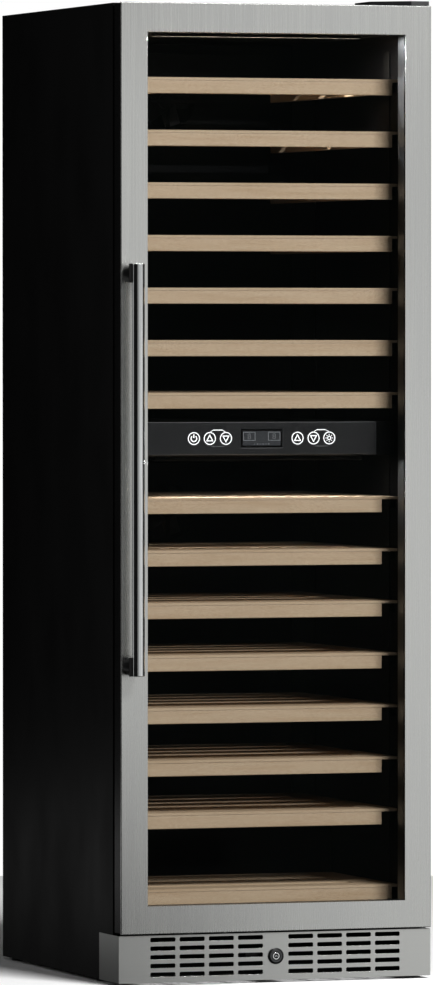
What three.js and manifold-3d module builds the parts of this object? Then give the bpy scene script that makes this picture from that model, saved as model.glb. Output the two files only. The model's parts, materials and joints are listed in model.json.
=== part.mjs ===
// Tall dual-zone wine cooler with a glazed stainless door, in millimetres, +Z up.
// The front faces -Y. The origin is on the floor, under the centre of the whole outline.
// Depths below are measured back from the face of the door, which is at depth 0.

import * as THREE from 'three';
import { mergeVertices } from 'three/addons/utils/BufferGeometryUtils.js';
import Module from 'manifold-3d';

const wasm = await Module();
wasm.setup();

// ---------------------------------------------------------------- driving dimensions

// Whole appliance
const width = 595;
const cabinetTop = 1770;
const depth = 700;
const skirtClearance = 5;          // side walls and kickplate stop this far above the floor

// Fits
const gap = 0.3;                   // between pieces that touch
const runningGap = 0.4;            // round a shaft, a key or a screw

// Door
const doorBottom = 93.5;
const doorThickness = 42;
const doorSealSpace = 5;           // from the back of the door to the cabinet's front
const doorBorder = 50.8;           // width of the steel border at the window's sides and bottom
const doorTopBorder = 53.4;
const skinSheet = 1.2;
const skinRim = 4;                 // how far the skin folds back round the door
const paneThickness = 4;
const paneOverlap = 15;            // how far a pane reaches behind the border
const gasketOuterInset = 15.5;
const paneGrip = 6.7;              // how far the gasket reaches over the pane's edge

// Door hinge
const hingeInsetX = 11.5;          // axis in from the door's side
const hingeDepth = 24;
const hingePinRadius = 5;
const hingePinLength = 16;
const hingePlateThickness = 3;
const hingePlateWidth = 24;
const hingeWasherRadius = 9;
const topHingeReach = 96;
const lowerHingeLeg = 30;
const coverHeight = 8;
const coverWall = 1.8;
const coverLength = 98;
const coverDepth = 126;
const coverSlant = 46;             // how far the cover's front edge runs back at its free end
const coverFront = 4;
const coverPlay = 0.7;             // between the cover's wall and the hinge plate

// Handle
const barRadius = 11.5;
const barLength = 740;
const barBottom = 560;
const barStandOff = 40;            // from the door's face to the bar's axis
const barInset = 19;               // axis in from the door's side
const postRadius = 17;

// Outer shell
const sheet = 1.5;
const cabinetBottom = 96;
const bayHeight = 224;             // machine bay behind the base
const bayDepth = 228;
const louvreRows = 9;
const louvrePitch = 18;
const louvreWidth = 190;
const louvreSlot = 7;
const louvreFromFloor = 40;

// Insulation and liner
const sideFoam = 31;
const topFoam = 46.5;
const bottomFoam = 36;
const rearFoam = 41.5;
const bayFoam = 40;
const linerWall = 2;

// Shelves
const upperShelves = 7;
const lowerShelves = 7;
const shelfSetback = 28;           // shelves and their fasciae behind the cabinet's front
const shelfSideClearance = 3;      // between the shelf and the liner
const boardThickness = 5;
const fasciaHeight = 24;
const fasciaThickness = 18;
const fasciaInset = 10;            // fascia ends in from the board's sides
const lowerFasciaInset = 30;       // the same, on the full shelves of the lower zone
const shelfRearClearance = 55;     // behind the shelf, where the air duct runs
const topShelfDrop = 82;           // top of the first shelf below the ceiling
const shelfAboveDivider = 53.4;
const shelfBelowDivider = 74.8;
const bottomShelfGap = 3.8;        // under the lowest shelf's fascia
const bottomBay = 138.3;           // from the lowest shelf to the one above it
const slotCount = 4;
const slotWidth = 34;
const slotMargin = 60;             // board left solid at the front, rear and sides
const ribInset = 60;
const ribWidth = 14;

// Runners
const runnerHeight = 16;
const runnerWidth = 11;
const runnerSetback = 20;          // behind the shelf's front
const uprightWidth = 30;
const uprightThickness = 2.2;
const uprightFromEnd = 25;

// Zone divider and control panel
const dividerHeight = 62;
const dividerSideClearance = 3;
const panelWidth = 446;
const panelHeight = 60;
const panelRise = 1.4;             // of its middle above the divider's
const panelSetback = 37;
const panelDepth = 8;              // from the panel's face to the divider
const panelWall = 3;
const panelChamfer = 2;
const displayWidth = 79.5;
const displayHeight = 33;
const keyRadius = 11.7;
const keyLength = 5;
const keyProud = 0.6;
const keyOffsets = [69, 100, 130.5];

// Lamps
const lampLength = 400;
const lampHeight = 7;
const lampWidth = 18;
const lampSetback = 25;

// Air ducts, evaporators and zone fans
const ductWidth = 400;
const ductDepth = 44;
const ductWall = 2.5;
const ductEndMargin = 20;
const evaporatorWidth = 320;
const evaporatorHeight = 330;
const evaporatorDepth = 26;
const evaporatorFins = 14;
const fanRadius = 48;
const fanThickness = 16;
const fanBlades = 5;
const fanDrop = 90;                // fan axis below the top of its duct
const fanHubRadius = 15;
const shaftRadius = 3;
const spiderBar = 8;

// Machine bay
const compressorRadius = 78;
const compressorHeight = 168;
const compressorX = 120;
const compressorBase = 4;
const compressorFlange = 12;       // foot plate beyond the shell on each side
const compressorRearGap = 9;
const condenserWidth = 214;
const condenserHeight = 190;
const condenserDepth = 34;
const condenserFins = 12;
const condenserSideGap = 4.6;      // between the condenser and the left rail
const coolingFanRadius = 70;

// Base frame and feet
const railMargin = 4;              // rail wider than the feet under it
const railHeight = 38;
const railStart = 112;
const railRearGap = 4.3;
const crossRailDepth = 28;
const crossRailHeight = 20;
const trayThickness = 2.5;
const footRadius = 19;
const footPad = 9.2;
const footStudRadius = 5;
const footStudLength = 34;
const footFromRailEnd = 40;

// Kickplate
const kickTop = 90.5;
const kickFront = 8;
const kickSheet = 1.5;
const kickReturn = 112;            // how far its ends fold back along the cabinet
const kickSideClearance = 0.5;
const kickFlange = 5;
const ventRows = 5;
const ventColumns = 4;
const ventLength = 47.8;
const ventSlot = 8.1;
const ventCorner = 2.4;
const ventBridgeX = 8;             // steel left between slots
const ventBridgeZ = 7.6;
const ventFromCentre = 24.4;
const ventTopMargin = 3.9;

// Lock
const lockHeight = 48;
const lockRimRadius = 14.8;
const lockBodyRadius = 10;
const lockBarrelRadius = 6.5;
const lockRim = 3.2;
const lockBodyLength = 16;
const tongueLength = 52;
const tongueWidth = 10;
const tongueThickness = 3;
const keeperWidth = 46;            // slot in the door's lower edge that takes the tongue
const keeperDepth = 11;
const keeperThickness = 8;

// ---------------------------------------------------------------- derived places

const halfWidth = width / 2;
const cabinetFront = doorThickness + doorSealSpace;
const wallInside = halfWidth - sheet;
const shellRear = depth - sheet;

const linerOuterHalf = wallInside - sideFoam;
const linerHalf = linerOuterHalf - linerWall;
const linerCeiling = cabinetTop - sheet - topFoam - linerWall;
const linerFloor = cabinetBottom + sheet + bottomFoam + linerWall;
const linerRear = shellRear - rearFoam - linerWall;
const linerFront = cabinetFront + sheet + gap;
const bayFront = depth - bayDepth - sheet;
const stepFloor = bayHeight + bayFoam + linerWall;
const stepFront = bayFront - bottomFoam - linerWall;

const windowHalf = halfWidth - doorBorder;
const gasketWidth = doorBorder - paneOverlap + paneGrip - gasketOuterInset;
const windowBottom = doorBottom + doorBorder - gap;
const windowTop = cabinetTop - doorTopBorder - gap;
const hingeX = halfWidth - hingeInsetX;
const frameHalf = halfWidth - skinSheet - gap;
const frameBottom = doorBottom + skinSheet + gap;
const frameTop = cabinetTop - skinSheet - gap;

const shelfFront = cabinetFront + shelfSetback;
const panelFront = cabinetFront + panelSetback;
const dividerFront = panelFront + panelDepth;
const runnerStart = shelfFront + runnerSetback;
const lampFront = shelfFront + lampSetback;
const shelfHalf = linerHalf - shelfSideClearance;
const shelfRear = linerRear - shelfRearClearance;
const bottomShelfTop = linerFloor + bottomShelfGap + fasciaHeight + boardThickness;
const lowestFullShelf = bottomShelfTop + bottomBay;
const fixedHeights = topShelfDrop + shelfAboveDivider + dividerHeight + shelfBelowDivider;
const shelfPitch = (linerCeiling - fixedHeights - lowestFullShelf) / (upperShelves + lowerShelves - 2);
const dividerTop = linerCeiling - topShelfDrop - (upperShelves - 1) * shelfPitch - shelfAboveDivider;
const dividerBottom = dividerTop - dividerHeight;
const panelMiddle = (dividerTop + dividerBottom) / 2 + panelRise;

const barX = -halfWidth + barInset;
const barTop = barBottom + barLength;
const railBottom = footPad + runningGap;
const railHalf = wallInside - runningGap;
const railWidth = 2 * footRadius + railMargin;
const condenserX = -railHalf + railWidth + condenserSideGap + condenserWidth / 2;
const kickHalf = halfWidth + kickSideClearance + kickSheet;
const ventPitchX = ventLength + ventBridgeX;
const ventPitchZ = ventSlot + ventBridgeZ;

const frontmost = -barStandOff - barRadius;
const centreDepth = (frontmost + depth) / 2;

// ---------------------------------------------------------------- finishes

const finishes = {
  steel: { color: 0xb4b5b1, roughness: 0.34, metalness: 1 },
  blackPaint: { color: 0x0d0d0e, roughness: 0.42, metalness: 0 },
  blackPlastic: { color: 0x17171a, roughness: 0.5, metalness: 0 },
  panelPlastic: { color: 0x2a2b2d, roughness: 0.35, metalness: 0 },
  keyPlastic: { color: 0x3a3b3d, roughness: 0.3, metalness: 0 },
  beech: { color: 0xc9ac86, roughness: 0.55, metalness: 0 },
  zinc: { color: 0x9a9c9e, roughness: 0.45, metalness: 1 },
  aluminium: { color: 0xb9bcbf, roughness: 0.4, metalness: 1 },
  chrome: { color: 0xd6d8da, roughness: 0.12, metalness: 1 },
  glass: { color: 0x1d2220, roughness: 0.05, metalness: 0 },
  rubber: { color: 0x111112, roughness: 0.8, metalness: 0 },
  foam: { color: 0xe6d9a8, roughness: 0.9, metalness: 0 },
  lamp: { color: 0xf4f6ff, roughness: 0.4, metalness: 0 },
};

// ---------------------------------------------------------------- solid modelling helpers

const object = new THREE.Group();

// A closed three.js geometry as a manifold solid.
function solidOf(geometry) {
  const bare = geometry.clone();
  bare.deleteAttribute('normal');
  bare.deleteAttribute('uv');
  const merged = mergeVertices(bare, 1e-4);
  const vertProperties = new Float32Array(merged.attributes.position.array);
  const triVerts = new Uint32Array(merged.index.array);
  return new wasm.Manifold(new wasm.Mesh({ numProp: 3, vertProperties, triVerts }));
}

// A manifold solid as a three.js geometry.
function geometryOf(solid) {
  const mesh = solid.getMesh();
  const geometry = new THREE.BufferGeometry();
  geometry.setAttribute('position', new THREE.BufferAttribute(mesh.vertProperties, 3));
  geometry.setIndex(new THREE.BufferAttribute(mesh.triVerts, 1));
  geometry.computeVertexNormals();
  return geometry;
}

// A box between two corners.
function box(x0, x1, y0, y1, z0, z1) {
  const geometry = new THREE.BoxGeometry(x1 - x0, y1 - y0, z1 - z0);
  geometry.translate((x0 + x1) / 2, (y0 + y1) / 2, (z0 + z1) / 2);
  return solidOf(geometry);
}

// A box centred on the plane x = 0.
function wideBox(half, y0, y1, z0, z1) {
  return box(-half, half, y0, y1, z0, z1);
}

// A round bar along the depth axis.
function depthRod(x, z, radius, y0, y1, sides = 20) {
  const geometry = new THREE.CylinderGeometry(radius, radius, y1 - y0, sides);
  geometry.translate(x, (y0 + y1) / 2, z);
  return solidOf(geometry);
}

// A round bar standing upright.
function uprightRod(x, y, radius, z0, z1, sides = 20) {
  const geometry = new THREE.CylinderGeometry(radius, radius, z1 - z0, sides);
  geometry.rotateX(Math.PI / 2);
  geometry.translate(x, y, (z0 + z1) / 2);
  return solidOf(geometry);
}

// An outline of [u, v] points as a shape.
function outline(points) {
  return new THREE.Shape(points.map(([u, v]) => new THREE.Vector2(u, v)));
}

// A (y, z) outline carried along x.
function alongX(points, x0, x1) {
  const geometry = new THREE.ExtrudeGeometry(outline(points), { depth: x1 - x0, bevelEnabled: false });
  const basis = new THREE.Matrix4().makeBasis(
    new THREE.Vector3(0, 1, 0), new THREE.Vector3(0, 0, 1), new THREE.Vector3(1, 0, 0));
  geometry.applyMatrix4(basis);
  geometry.translate(x0, 0, 0);
  return solidOf(geometry);
}

// An (x, y) outline carried along z.
function alongZ(points, z0, z1) {
  const geometry = new THREE.ExtrudeGeometry(outline(points), { depth: z1 - z0, bevelEnabled: false });
  geometry.translate(0, 0, z0);
  return solidOf(geometry);
}

// An (x, z) outline carried along the depth axis.
function alongY(shape, y0, y1, curveSegments = 3) {
  const settings = { depth: y1 - y0, bevelEnabled: false, curveSegments };
  const geometry = new THREE.ExtrudeGeometry(shape, settings);
  geometry.rotateX(Math.PI / 2);
  geometry.translate(0, y1, 0);
  return solidOf(geometry);
}

// A flat ring in the door's plane: an outer rectangle less an inner one.
function ring(outer, inner, y0, y1) {
  const whole = wideBox(outer.half, y0, y1, outer.bottom, outer.top);
  const hole = wideBox(inner.half, y0 - 1, y1 + 1, inner.bottom, inner.top);
  return whole.subtract(hole);
}

// A rectangle grown on all sides.
function grown(rectangle, amount) {
  return {
    half: rectangle.half + amount,
    bottom: rectangle.bottom - amount,
    top: rectangle.top + amount,
  };
}

// Adds one named piece to the appliance.
function addPiece(name, solid, finish) {
  const material = new THREE.MeshStandardMaterial(finishes[finish]);
  const mesh = new THREE.Mesh(geometryOf(solid), material);
  mesh.name = name;
  object.add(mesh);
}

// ---------------------------------------------------------------- cabinet

const windowOpening = { half: windowHalf, bottom: windowBottom, top: windowTop };
const doorOutline = { half: halfWidth, bottom: doorBottom, top: cabinetTop };
const frameOutline = { half: frameHalf, bottom: frameBottom, top: frameTop };
const linerOpening = { half: linerHalf, bottom: linerFloor, top: linerCeiling };

// Painted steel shell: sides and top, the folded front flange, and the floor sheet
// that steps up over the machine bay.
function cabinetShell() {
  const outside = wideBox(halfWidth, cabinetFront, shellRear - gap, skirtClearance, cabinetTop);
  const inside = wideBox(wallInside, cabinetFront - 1, shellRear, skirtClearance - 1, cabinetTop - sheet);
  const flangeOutline = { half: halfWidth - sheet / 2, bottom: cabinetBottom, top: cabinetTop - sheet / 2 };
  const flange = ring(flangeOutline, linerOpening, cabinetFront, cabinetFront + sheet);
  const reach = wallInside + sheet / 2;
  const floorSheet = wideBox(reach, cabinetFront, bayFront + sheet, cabinetBottom, cabinetBottom + sheet);
  const bayWall = wideBox(reach, bayFront, bayFront + sheet, cabinetBottom, bayHeight);
  const bayRoof = wideBox(reach, bayFront, shellRear - gap, bayHeight - sheet, bayHeight);
  return outside.subtract(inside).add(flange).add(floorSheet).add(bayWall).add(bayRoof);
}

// Back sheet with louvres over the machine bay and a raised inlet plate.
function rearPanel() {
  let panel = wideBox(halfWidth, shellRear, depth, skirtClearance, cabinetTop);
  for (let row = 0; row < louvreRows; row += 1) {
    const z = louvreFromFloor + row * louvrePitch;
    for (const side of [-1, 1]) {
      const centre = side * (louvreWidth / 2 + louvrePitch);
      const half = louvreWidth / 2;
      panel = panel.subtract(box(centre - half, centre + half, shellRear - 1, depth + 1, z, z + louvreSlot));
    }
  }
  return panel;
}

// Rigid foam between the shell and the liner.
function insulationFoam() {
  const half = wallInside - gap;
  const front = linerFront;
  const rear = shellRear - 2 * gap;
  const profile = [
    [front, cabinetBottom + sheet + gap],
    [bayFront - gap, cabinetBottom + sheet + gap],
    [bayFront - gap, bayHeight + gap],
    [rear, bayHeight + gap],
    [rear, cabinetTop - sheet - gap],
    [front, cabinetTop - sheet - gap],
  ];
  return alongX(profile, -half, half).subtract(linerBlock(linerWall + gap, front - 1));
}

// The space inside the liner, grown outwards by a wall thickness.
function linerBlock(wall, front) {
  const profile = [
    [front, linerFloor - wall],
    [stepFront + wall, linerFloor - wall],
    [stepFront + wall, stepFloor - wall],
    [linerRear + wall, stepFloor - wall],
    [linerRear + wall, linerCeiling + wall],
    [front, linerCeiling + wall],
  ];
  return alongX(profile, -linerHalf - wall, linerHalf + wall);
}

function innerLiner() {
  return linerBlock(linerWall, linerFront).subtract(linerBlock(0, linerFront - 1));
}

// Insulated block between the two temperature zones.
function zoneDivider() {
  const half = linerHalf - dividerSideClearance;
  return wideBox(half, dividerFront, linerRear - gap, dividerBottom, dividerTop);
}

// ---------------------------------------------------------------- control panel

const keyPlaces = [-1, 1].flatMap((side) => keyOffsets.map((offset) => side * offset));

function controlPanel() {
  const half = panelWidth / 2;
  const back = dividerFront - gap;
  const profile = [
    [-half, back], [-half, panelFront + panelWall], [-half + panelChamfer, panelFront],
    [half - panelChamfer, panelFront], [half, panelFront + panelWall], [half, back],
    [half - panelWall, back], [half - panelWall - panelChamfer, panelFront + panelWall],
    [-half + panelWall + panelChamfer, panelFront + panelWall], [-half + panelWall, back],
  ];
  const bottom = panelMiddle - panelHeight / 2;
  let panel = alongZ(profile, bottom, bottom + panelHeight);
  for (const x of keyPlaces) {
    const bore = depthRod(x, panelMiddle, keyRadius + runningGap, panelFront - 1, dividerFront);
    panel = panel.subtract(bore);
  }
  const high = displayHeight / 2 + gap;
  const cut = wideBox(displayWidth / 2 + gap, panelFront - 1, dividerFront,
    panelMiddle - high, panelMiddle + high);
  return panel.subtract(cut);
}

function displayWindow() {
  const high = displayHeight / 2;
  return wideBox(displayWidth / 2, panelFront - gap, panelFront + panelWall,
    panelMiddle - high, panelMiddle + high);
}

function controlKey(x) {
  const front = panelFront - keyProud;
  return depthRod(x, panelMiddle, keyRadius, front, front + keyLength);
}

// ---------------------------------------------------------------- shelves and runners

// Beech shelf: a slotted board, a deep front fascia and two ribs below.
function shelf(top, rear, inset) {
  const underside = top - boardThickness;
  const bottom = underside - fasciaHeight;
  let board = wideBox(shelfHalf, shelfFront, rear, underside, top);
  const free = rear - shelfFront - 2 * slotMargin;
  const pitch = (free + slotWidth) / slotCount;
  const slotHalf = shelfHalf - slotMargin;
  for (let i = 0; i < slotCount; i += 1) {
    const y = shelfFront + slotMargin + i * pitch;
    board = board.subtract(wideBox(slotHalf, y, y + slotWidth, underside - 1, top + 1));
  }
  const fasciaHalf = shelfHalf - inset;
  board = board.add(wideBox(fasciaHalf, shelfFront, shelfFront + fasciaThickness, bottom, top - 1));
  for (const side of [-1, 1]) {
    const inner = side * (shelfHalf - ribInset);
    const outer = inner + side * ribWidth;
    const rib = box(Math.min(inner, outer), Math.max(inner, outer), shelfFront + 1, rear, bottom, top - 1);
    board = board.add(rib);
  }
  return board;
}

function shelfTops() {
  const tops = [];
  for (let i = 0; i < upperShelves; i += 1) {
    tops.push(linerCeiling - topShelfDrop - i * shelfPitch);
  }
  for (let i = 0; i < lowerShelves; i += 1) {
    tops.push(dividerBottom - shelfBelowDivider - i * shelfPitch);
  }
  tops.push(bottomShelfTop);
  return tops;
}

// The lowest shelf is short, because the liner steps up behind it.
function rearOfShelf(top) {
  const clearOfStep = top - boardThickness - fasciaHeight > stepFloor;
  return clearOfStep ? shelfRear : stepFront - fasciaInset;
}

// Uprights on one wall of the liner, with a runner under every shelf.
function runnerRack(side) {
  const wall = linerHalf - gap;
  const inner = shelfHalf - fasciaInset + 1;
  const across = (a, b) => (side > 0 ? [a, b] : [-b, -a]);
  const bar = (a, b, y0, y1, z0, z1) => {
    const [x0, x1] = across(a, b);
    return box(x0, x1, y0, y1, z0, z1);
  };
  const top = linerCeiling - uprightWidth;
  const front = runnerStart + uprightFromEnd;
  const back = shelfRear - 2 * uprightFromEnd - uprightWidth;
  const face = wall - uprightThickness;
  let rack = bar(face, wall, front, front + uprightWidth, linerFloor + gap, top);
  const rear = bar(face, wall, back, back + uprightWidth, stepFloor + gap, top);
  for (const shelfTop of shelfTops()) {
    const end = rearOfShelf(shelfTop) - uprightFromEnd;
    const high = shelfTop - boardThickness - gap;
    const start = Math.min(inner, wall - runnerWidth);
    rack = rack.add(bar(start, wall - gap, runnerStart, end, high - runnerHeight, high));
  }
  return rack.add(rear);
}

// ---------------------------------------------------------------- lamps, ducts and fans

function lamp(ceiling) {
  return wideBox(lampLength / 2, lampFront, lampFront + lampWidth, ceiling - gap - lampHeight, ceiling - gap);
}

// Round grille arms with a motor boss and shaft that reach back into the fan.
function fanSpider(x, z, radius, front, thickness, shaftEnd) {
  const reach = radius + spiderBar;
  const arms = box(x - reach, x + reach, front, front + thickness, z - spiderBar / 2, z + spiderBar / 2)
    .add(box(x - spiderBar / 2, x + spiderBar / 2, front, front + thickness, z - reach, z + reach));
  const boss = depthRod(x, z, fanHubRadius - 1, front, front + thickness + 1.5, 16);
  return arms.add(boss).add(depthRod(x, z, shaftRadius, front, shaftEnd, 12));
}

const ductFront = linerRear - ductDepth;
const fanFront = ductFront + ductWall + 4;

// Air duct cover of one zone: a tray open to the liner's rear wall.
function ductCover(bottom, top) {
  const half = ductWidth / 2;
  const tray = wideBox(half, ductFront, linerRear - gap, bottom, top);
  const hollow = wideBox(half - ductWall, ductFront + ductWall, linerRear + 1, bottom + ductWall, top - ductWall);
  const fanZ = top - fanDrop;
  const mouth = depthRod(0, fanZ, fanRadius + 4, ductFront - 1, ductFront + ductWall + 1, 28);
  const spider = fanSpider(0, fanZ, fanRadius + 4, ductFront, ductWall, fanFront + fanThickness - 2);
  return tray.subtract(hollow).subtract(mouth).add(spider);
}

// Comb of fins on a plate, from an (x, y) outline.
function finBlock(x0, x1, plateY, finY, z0, z1, fins) {
  const pitch = (x1 - x0) / (2 * fins - 1);
  const base = plateY + Math.sign(finY - plateY) * 3;
  const points = [[x0, plateY]];
  for (let i = 0; i < fins; i += 1) {
    const left = x0 + 2 * i * pitch;
    points.push([left, i === 0 ? finY : base]);
    if (i > 0) points.push([left, finY]);
    points.push([left + pitch, finY]);
    if (i < fins - 1) points.push([left + pitch, base]);
  }
  points.push([x1, plateY]);
  return alongZ(points, z0, z1);
}

function evaporator(bottom) {
  const half = evaporatorWidth / 2;
  const back = linerRear - 2 * gap - 4;
  const z = bottom + ductEndMargin;
  return finBlock(-half, half, back, back - evaporatorDepth, z, z + evaporatorHeight, evaporatorFins);
}

// Axial fan that turns about the depth axis on a fixed shaft.
function fan(x, z, radius, front, thickness) {
  let rotor = depthRod(x, z, fanHubRadius, front, front + thickness, 16);
  for (let i = 0; i < fanBlades; i += 1) {
    const span = radius - fanHubRadius + 6;
    const blade = new THREE.BoxGeometry(span, 1.6, radius * 0.62);
    blade.rotateX(0.5);
    blade.translate(fanHubRadius - 6 + span / 2, 0, 0);
    blade.rotateY((2 * Math.PI * i) / fanBlades);
    blade.translate(x, front + thickness / 2, z);
    rotor = rotor.add(solidOf(blade));
  }
  const envelope = depthRod(x, z, radius, front, front + thickness, 28);
  const bore = depthRod(x, z, shaftRadius + runningGap, front - 1, front + thickness + 1, 12);
  return rotor.intersect(envelope).subtract(bore);
}

// ---------------------------------------------------------------- machine bay and base

const trayTop = railBottom + trayThickness;
const railEnd = shellRear - railRearGap;

// Hermetic compressor on its foot plate.
function compressor() {
  const seat = trayTop + gap;
  const dome = compressorRadius * 0.55;
  const low = seat + compressorBase;
  const high = low + compressorHeight;
  const profile = [[0, low], [compressorRadius * 0.8, low], [compressorRadius, low + 14],
    [compressorRadius, high - dome], [compressorRadius * 0.9, high - dome * 0.5],
    [compressorRadius * 0.62, high - dome * 0.16], [compressorRadius * 0.3, high], [0, high]];
  const geometry = new THREE.LatheGeometry(profile.map(([r, z]) => new THREE.Vector2(r, z)), 24);
  geometry.rotateX(Math.PI / 2);
  const half = compressorRadius + compressorFlange;
  const deep = half * 0.8;
  const y = railEnd - crossRailDepth - compressorRearGap - deep;
  geometry.translate(compressorX, y, 0);
  const body = solidOf(geometry);
  const plate = box(compressorX - half, compressorX + half, y - deep, y + deep, seat, low + 1);
  return body.add(plate);
}

const condenserFront = bayFront + sheet + 10;
const coolingFanFront = condenserFront + condenserDepth + 10;
const condenserBottom = trayTop + gap;
const coolingFanZ = condenserBottom + condenserHeight / 2;

// Finned condenser with the spider that carries its fan.
function condenser() {
  const half = condenserWidth / 2;
  const back = condenserFront + condenserDepth;
  const block = finBlock(condenserX - half, condenserX + half, back, condenserFront,
    condenserBottom, condenserBottom + condenserHeight, condenserFins);
  const shaftEnd = coolingFanFront + fanThickness;
  return block.add(fanSpider(condenserX, coolingFanZ, coolingFanRadius, back - 1, 4, shaftEnd));
}

const footX = railHalf - railWidth / 2;
const footDepths = { front: railStart + footFromRailEnd, rear: railEnd - footFromRailEnd };

// Base frame: two side rails, two cross rails, the machine tray and four uprights.
function baseFrame() {
  const railTop = railBottom + railHeight;
  const across = railHalf - railWidth + 1;
  let frame = wideBox(across, railStart, railStart + crossRailDepth, railBottom, railBottom + crossRailHeight);
  frame = frame.add(wideBox(across, railEnd - crossRailDepth, railEnd, railBottom, railBottom + crossRailHeight));
  frame = frame.add(wideBox(across, bayFront, railEnd, railBottom, trayTop));
  for (const side of [-1, 1]) {
    const x0 = side > 0 ? railHalf - railWidth : -railHalf;
    frame = frame.add(box(x0, x0 + railWidth, railStart, railEnd, railBottom, railTop));
    const postX = side > 0 ? railHalf - railWidth / 2 : -railHalf;
    const post = (y0, y1, z) => box(postX, postX + railWidth / 2, y0, y1, railTop - 1, z);
    frame = frame.add(post(railStart, railStart + crossRailDepth, cabinetBottom - gap));
    frame = frame.add(post(railEnd - crossRailDepth, railEnd, bayHeight - sheet - gap));
    for (const y of Object.values(footDepths)) {
      const bore = uprightRod(side * footX, y, footStudRadius + runningGap, railBottom - 1, railTop + 1, 16);
      frame = frame.subtract(bore);
    }
  }
  return frame;
}

// Levelling foot: a pad on a threaded stud.
function foot(x, y) {
  const pad = uprightRod(x, y, footRadius, 0, footPad, 24);
  return pad.add(uprightRod(x, y, footStudRadius, footPad - 1, footPad + footStudLength, 16));
}

// ---------------------------------------------------------------- kickplate and lock

// A vent slot with rounded corners, as an (x, z) shape.
function ventShape(x, z) {
  const r = ventCorner;
  const end = x + ventLength;
  const low = z - ventSlot / 2;
  const high = z + ventSlot / 2;
  const shape = new THREE.Shape();
  shape.moveTo(x + r, low);
  shape.lineTo(end - r, low);
  shape.absarc(end - r, low + r, r, -Math.PI / 2, 0, false);
  shape.lineTo(end, high - r);
  shape.absarc(end - r, high - r, r, 0, Math.PI / 2, false);
  shape.lineTo(x + r, high);
  shape.absarc(x + r, high - r, r, Math.PI / 2, Math.PI, false);
  shape.lineTo(x, low + r);
  shape.absarc(x + r, low + r, r, Math.PI, (3 * Math.PI) / 2, false);
  return shape;
}

function kickplate() {
  const inner = kickHalf - kickSheet;
  const back = kickFront + kickReturn;
  let plate = wideBox(kickHalf, kickFront, back, skirtClearance, kickTop);
  plate = plate.subtract(wideBox(inner, kickFront + kickSheet, back + 1, skirtClearance - 1, kickTop + 1));
  const flangeRear = kickFront + kickSheet + kickFlange;
  plate = plate.add(wideBox(inner + 0.5, kickFront + 0.5, flangeRear, kickTop - kickSheet, kickTop));
  plate = plate.add(wideBox(inner + 0.5, kickFront + 0.5, flangeRear, skirtClearance,
    skirtClearance + kickSheet));
  const cutFront = kickFront - 1;
  const cutBack = kickFront + kickSheet + 0.2;
  for (let row = 0; row < ventRows; row += 1) {
    const z = kickTop - ventTopMargin - ventSlot / 2 - row * ventPitchZ;
    for (let column = 0; column < ventColumns; column += 1) {
      const x = ventFromCentre + column * ventPitchX;
      plate = plate.subtract(alongY(ventShape(x, z), cutFront, cutBack));
      plate = plate.subtract(alongY(ventShape(-x - ventLength, z), cutFront, cutBack));
    }
  }
  return plate.subtract(depthRod(0, lockHeight, lockBodyRadius + gap, cutFront, cutBack, 24));
}

// Lock housing: a rim on the kickplate's face and a body through it.
function lockHousing() {
  const rimBack = kickFront - gap;
  const rim = depthRod(0, lockHeight, lockRimRadius, rimBack - lockRim, rimBack, 28);
  const body = depthRod(0, lockHeight, lockBodyRadius, rimBack - 1, rimBack + lockBodyLength, 24);
  const bore = depthRod(0, lockHeight, lockBarrelRadius + runningGap, 0, rimBack + lockBodyLength + 1, 20);
  return rim.add(body).subtract(bore);
}

// Key barrel with the tongue that turns up into the door's lower edge.
function lockBarrel() {
  const front = kickFront - lockRim;
  const tongueFront = kickFront + lockBodyLength + 0.5;
  const barrel = depthRod(0, lockHeight, lockBarrelRadius, front, tongueFront + tongueThickness, 20);
  const half = tongueWidth / 2;
  const tongue = box(-tongueLength, half, tongueFront, tongueFront + tongueThickness,
    lockHeight - half, lockHeight + half);
  const keyway = box(-0.9, 0.9, front - 1, front + 4, lockHeight - 4, lockHeight + 4);
  return barrel.add(tongue).subtract(keyway);
}

// ---------------------------------------------------------------- door

// Brushed steel border with its edges folded back.
function doorSkin() {
  const rimHole = grown(doorOutline, -skinSheet);
  const rim = ring(doorOutline, rimHole, 0, skinRim);
  return ring(doorOutline, windowOpening, 0, skinSheet).add(rim);
}

// Black door frame with rebates for both panes, hinge bores and the keeper slot.
function doorFrame() {
  const front = skinSheet + gap;
  const pocket = grown(windowOpening, paneOverlap + gap);
  let frame = ring(frameOutline, windowOpening, front, doorThickness);
  const frontPocket = front + paneThickness + 2 * gap;
  frame = frame.subtract(wideBox(pocket.half, front - 1, frontPocket, pocket.bottom, pocket.top));
  const rearPocket = doorThickness - paneThickness - gap;
  frame = frame.subtract(wideBox(pocket.half, rearPocket, doorThickness + 1, pocket.bottom, pocket.top));
  const bore = hingePinRadius + runningGap;
  frame = frame.subtract(uprightRod(hingeX, hingeDepth, bore, frameBottom - 1,
    frameBottom + hingePinLength, 20));
  frame = frame.subtract(uprightRod(hingeX, hingeDepth, bore, frameTop - hingePinLength, frameTop + 1, 20));
  const keeperFront = kickFront + lockBodyLength + tongueThickness / 2 + 0.5 - keeperThickness / 2;
  const keeperX = tongueWidth + 2;
  const keeper = box(keeperX - keeperWidth, keeperX, keeperFront, keeperFront + keeperThickness,
    frameBottom - 1, frameBottom + keeperDepth);
  return frame.subtract(keeper);
}

function pane(front) {
  const size = grown(windowOpening, paneOverlap);
  return wideBox(size.half, front, front + paneThickness, size.bottom, size.top);
}

function doorGasket() {
  const outer = grown(doorOutline, -gasketOuterInset);
  return ring(outer, grown(outer, -gasketWidth), doorThickness + gap, cabinetFront - gap);
}

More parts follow.
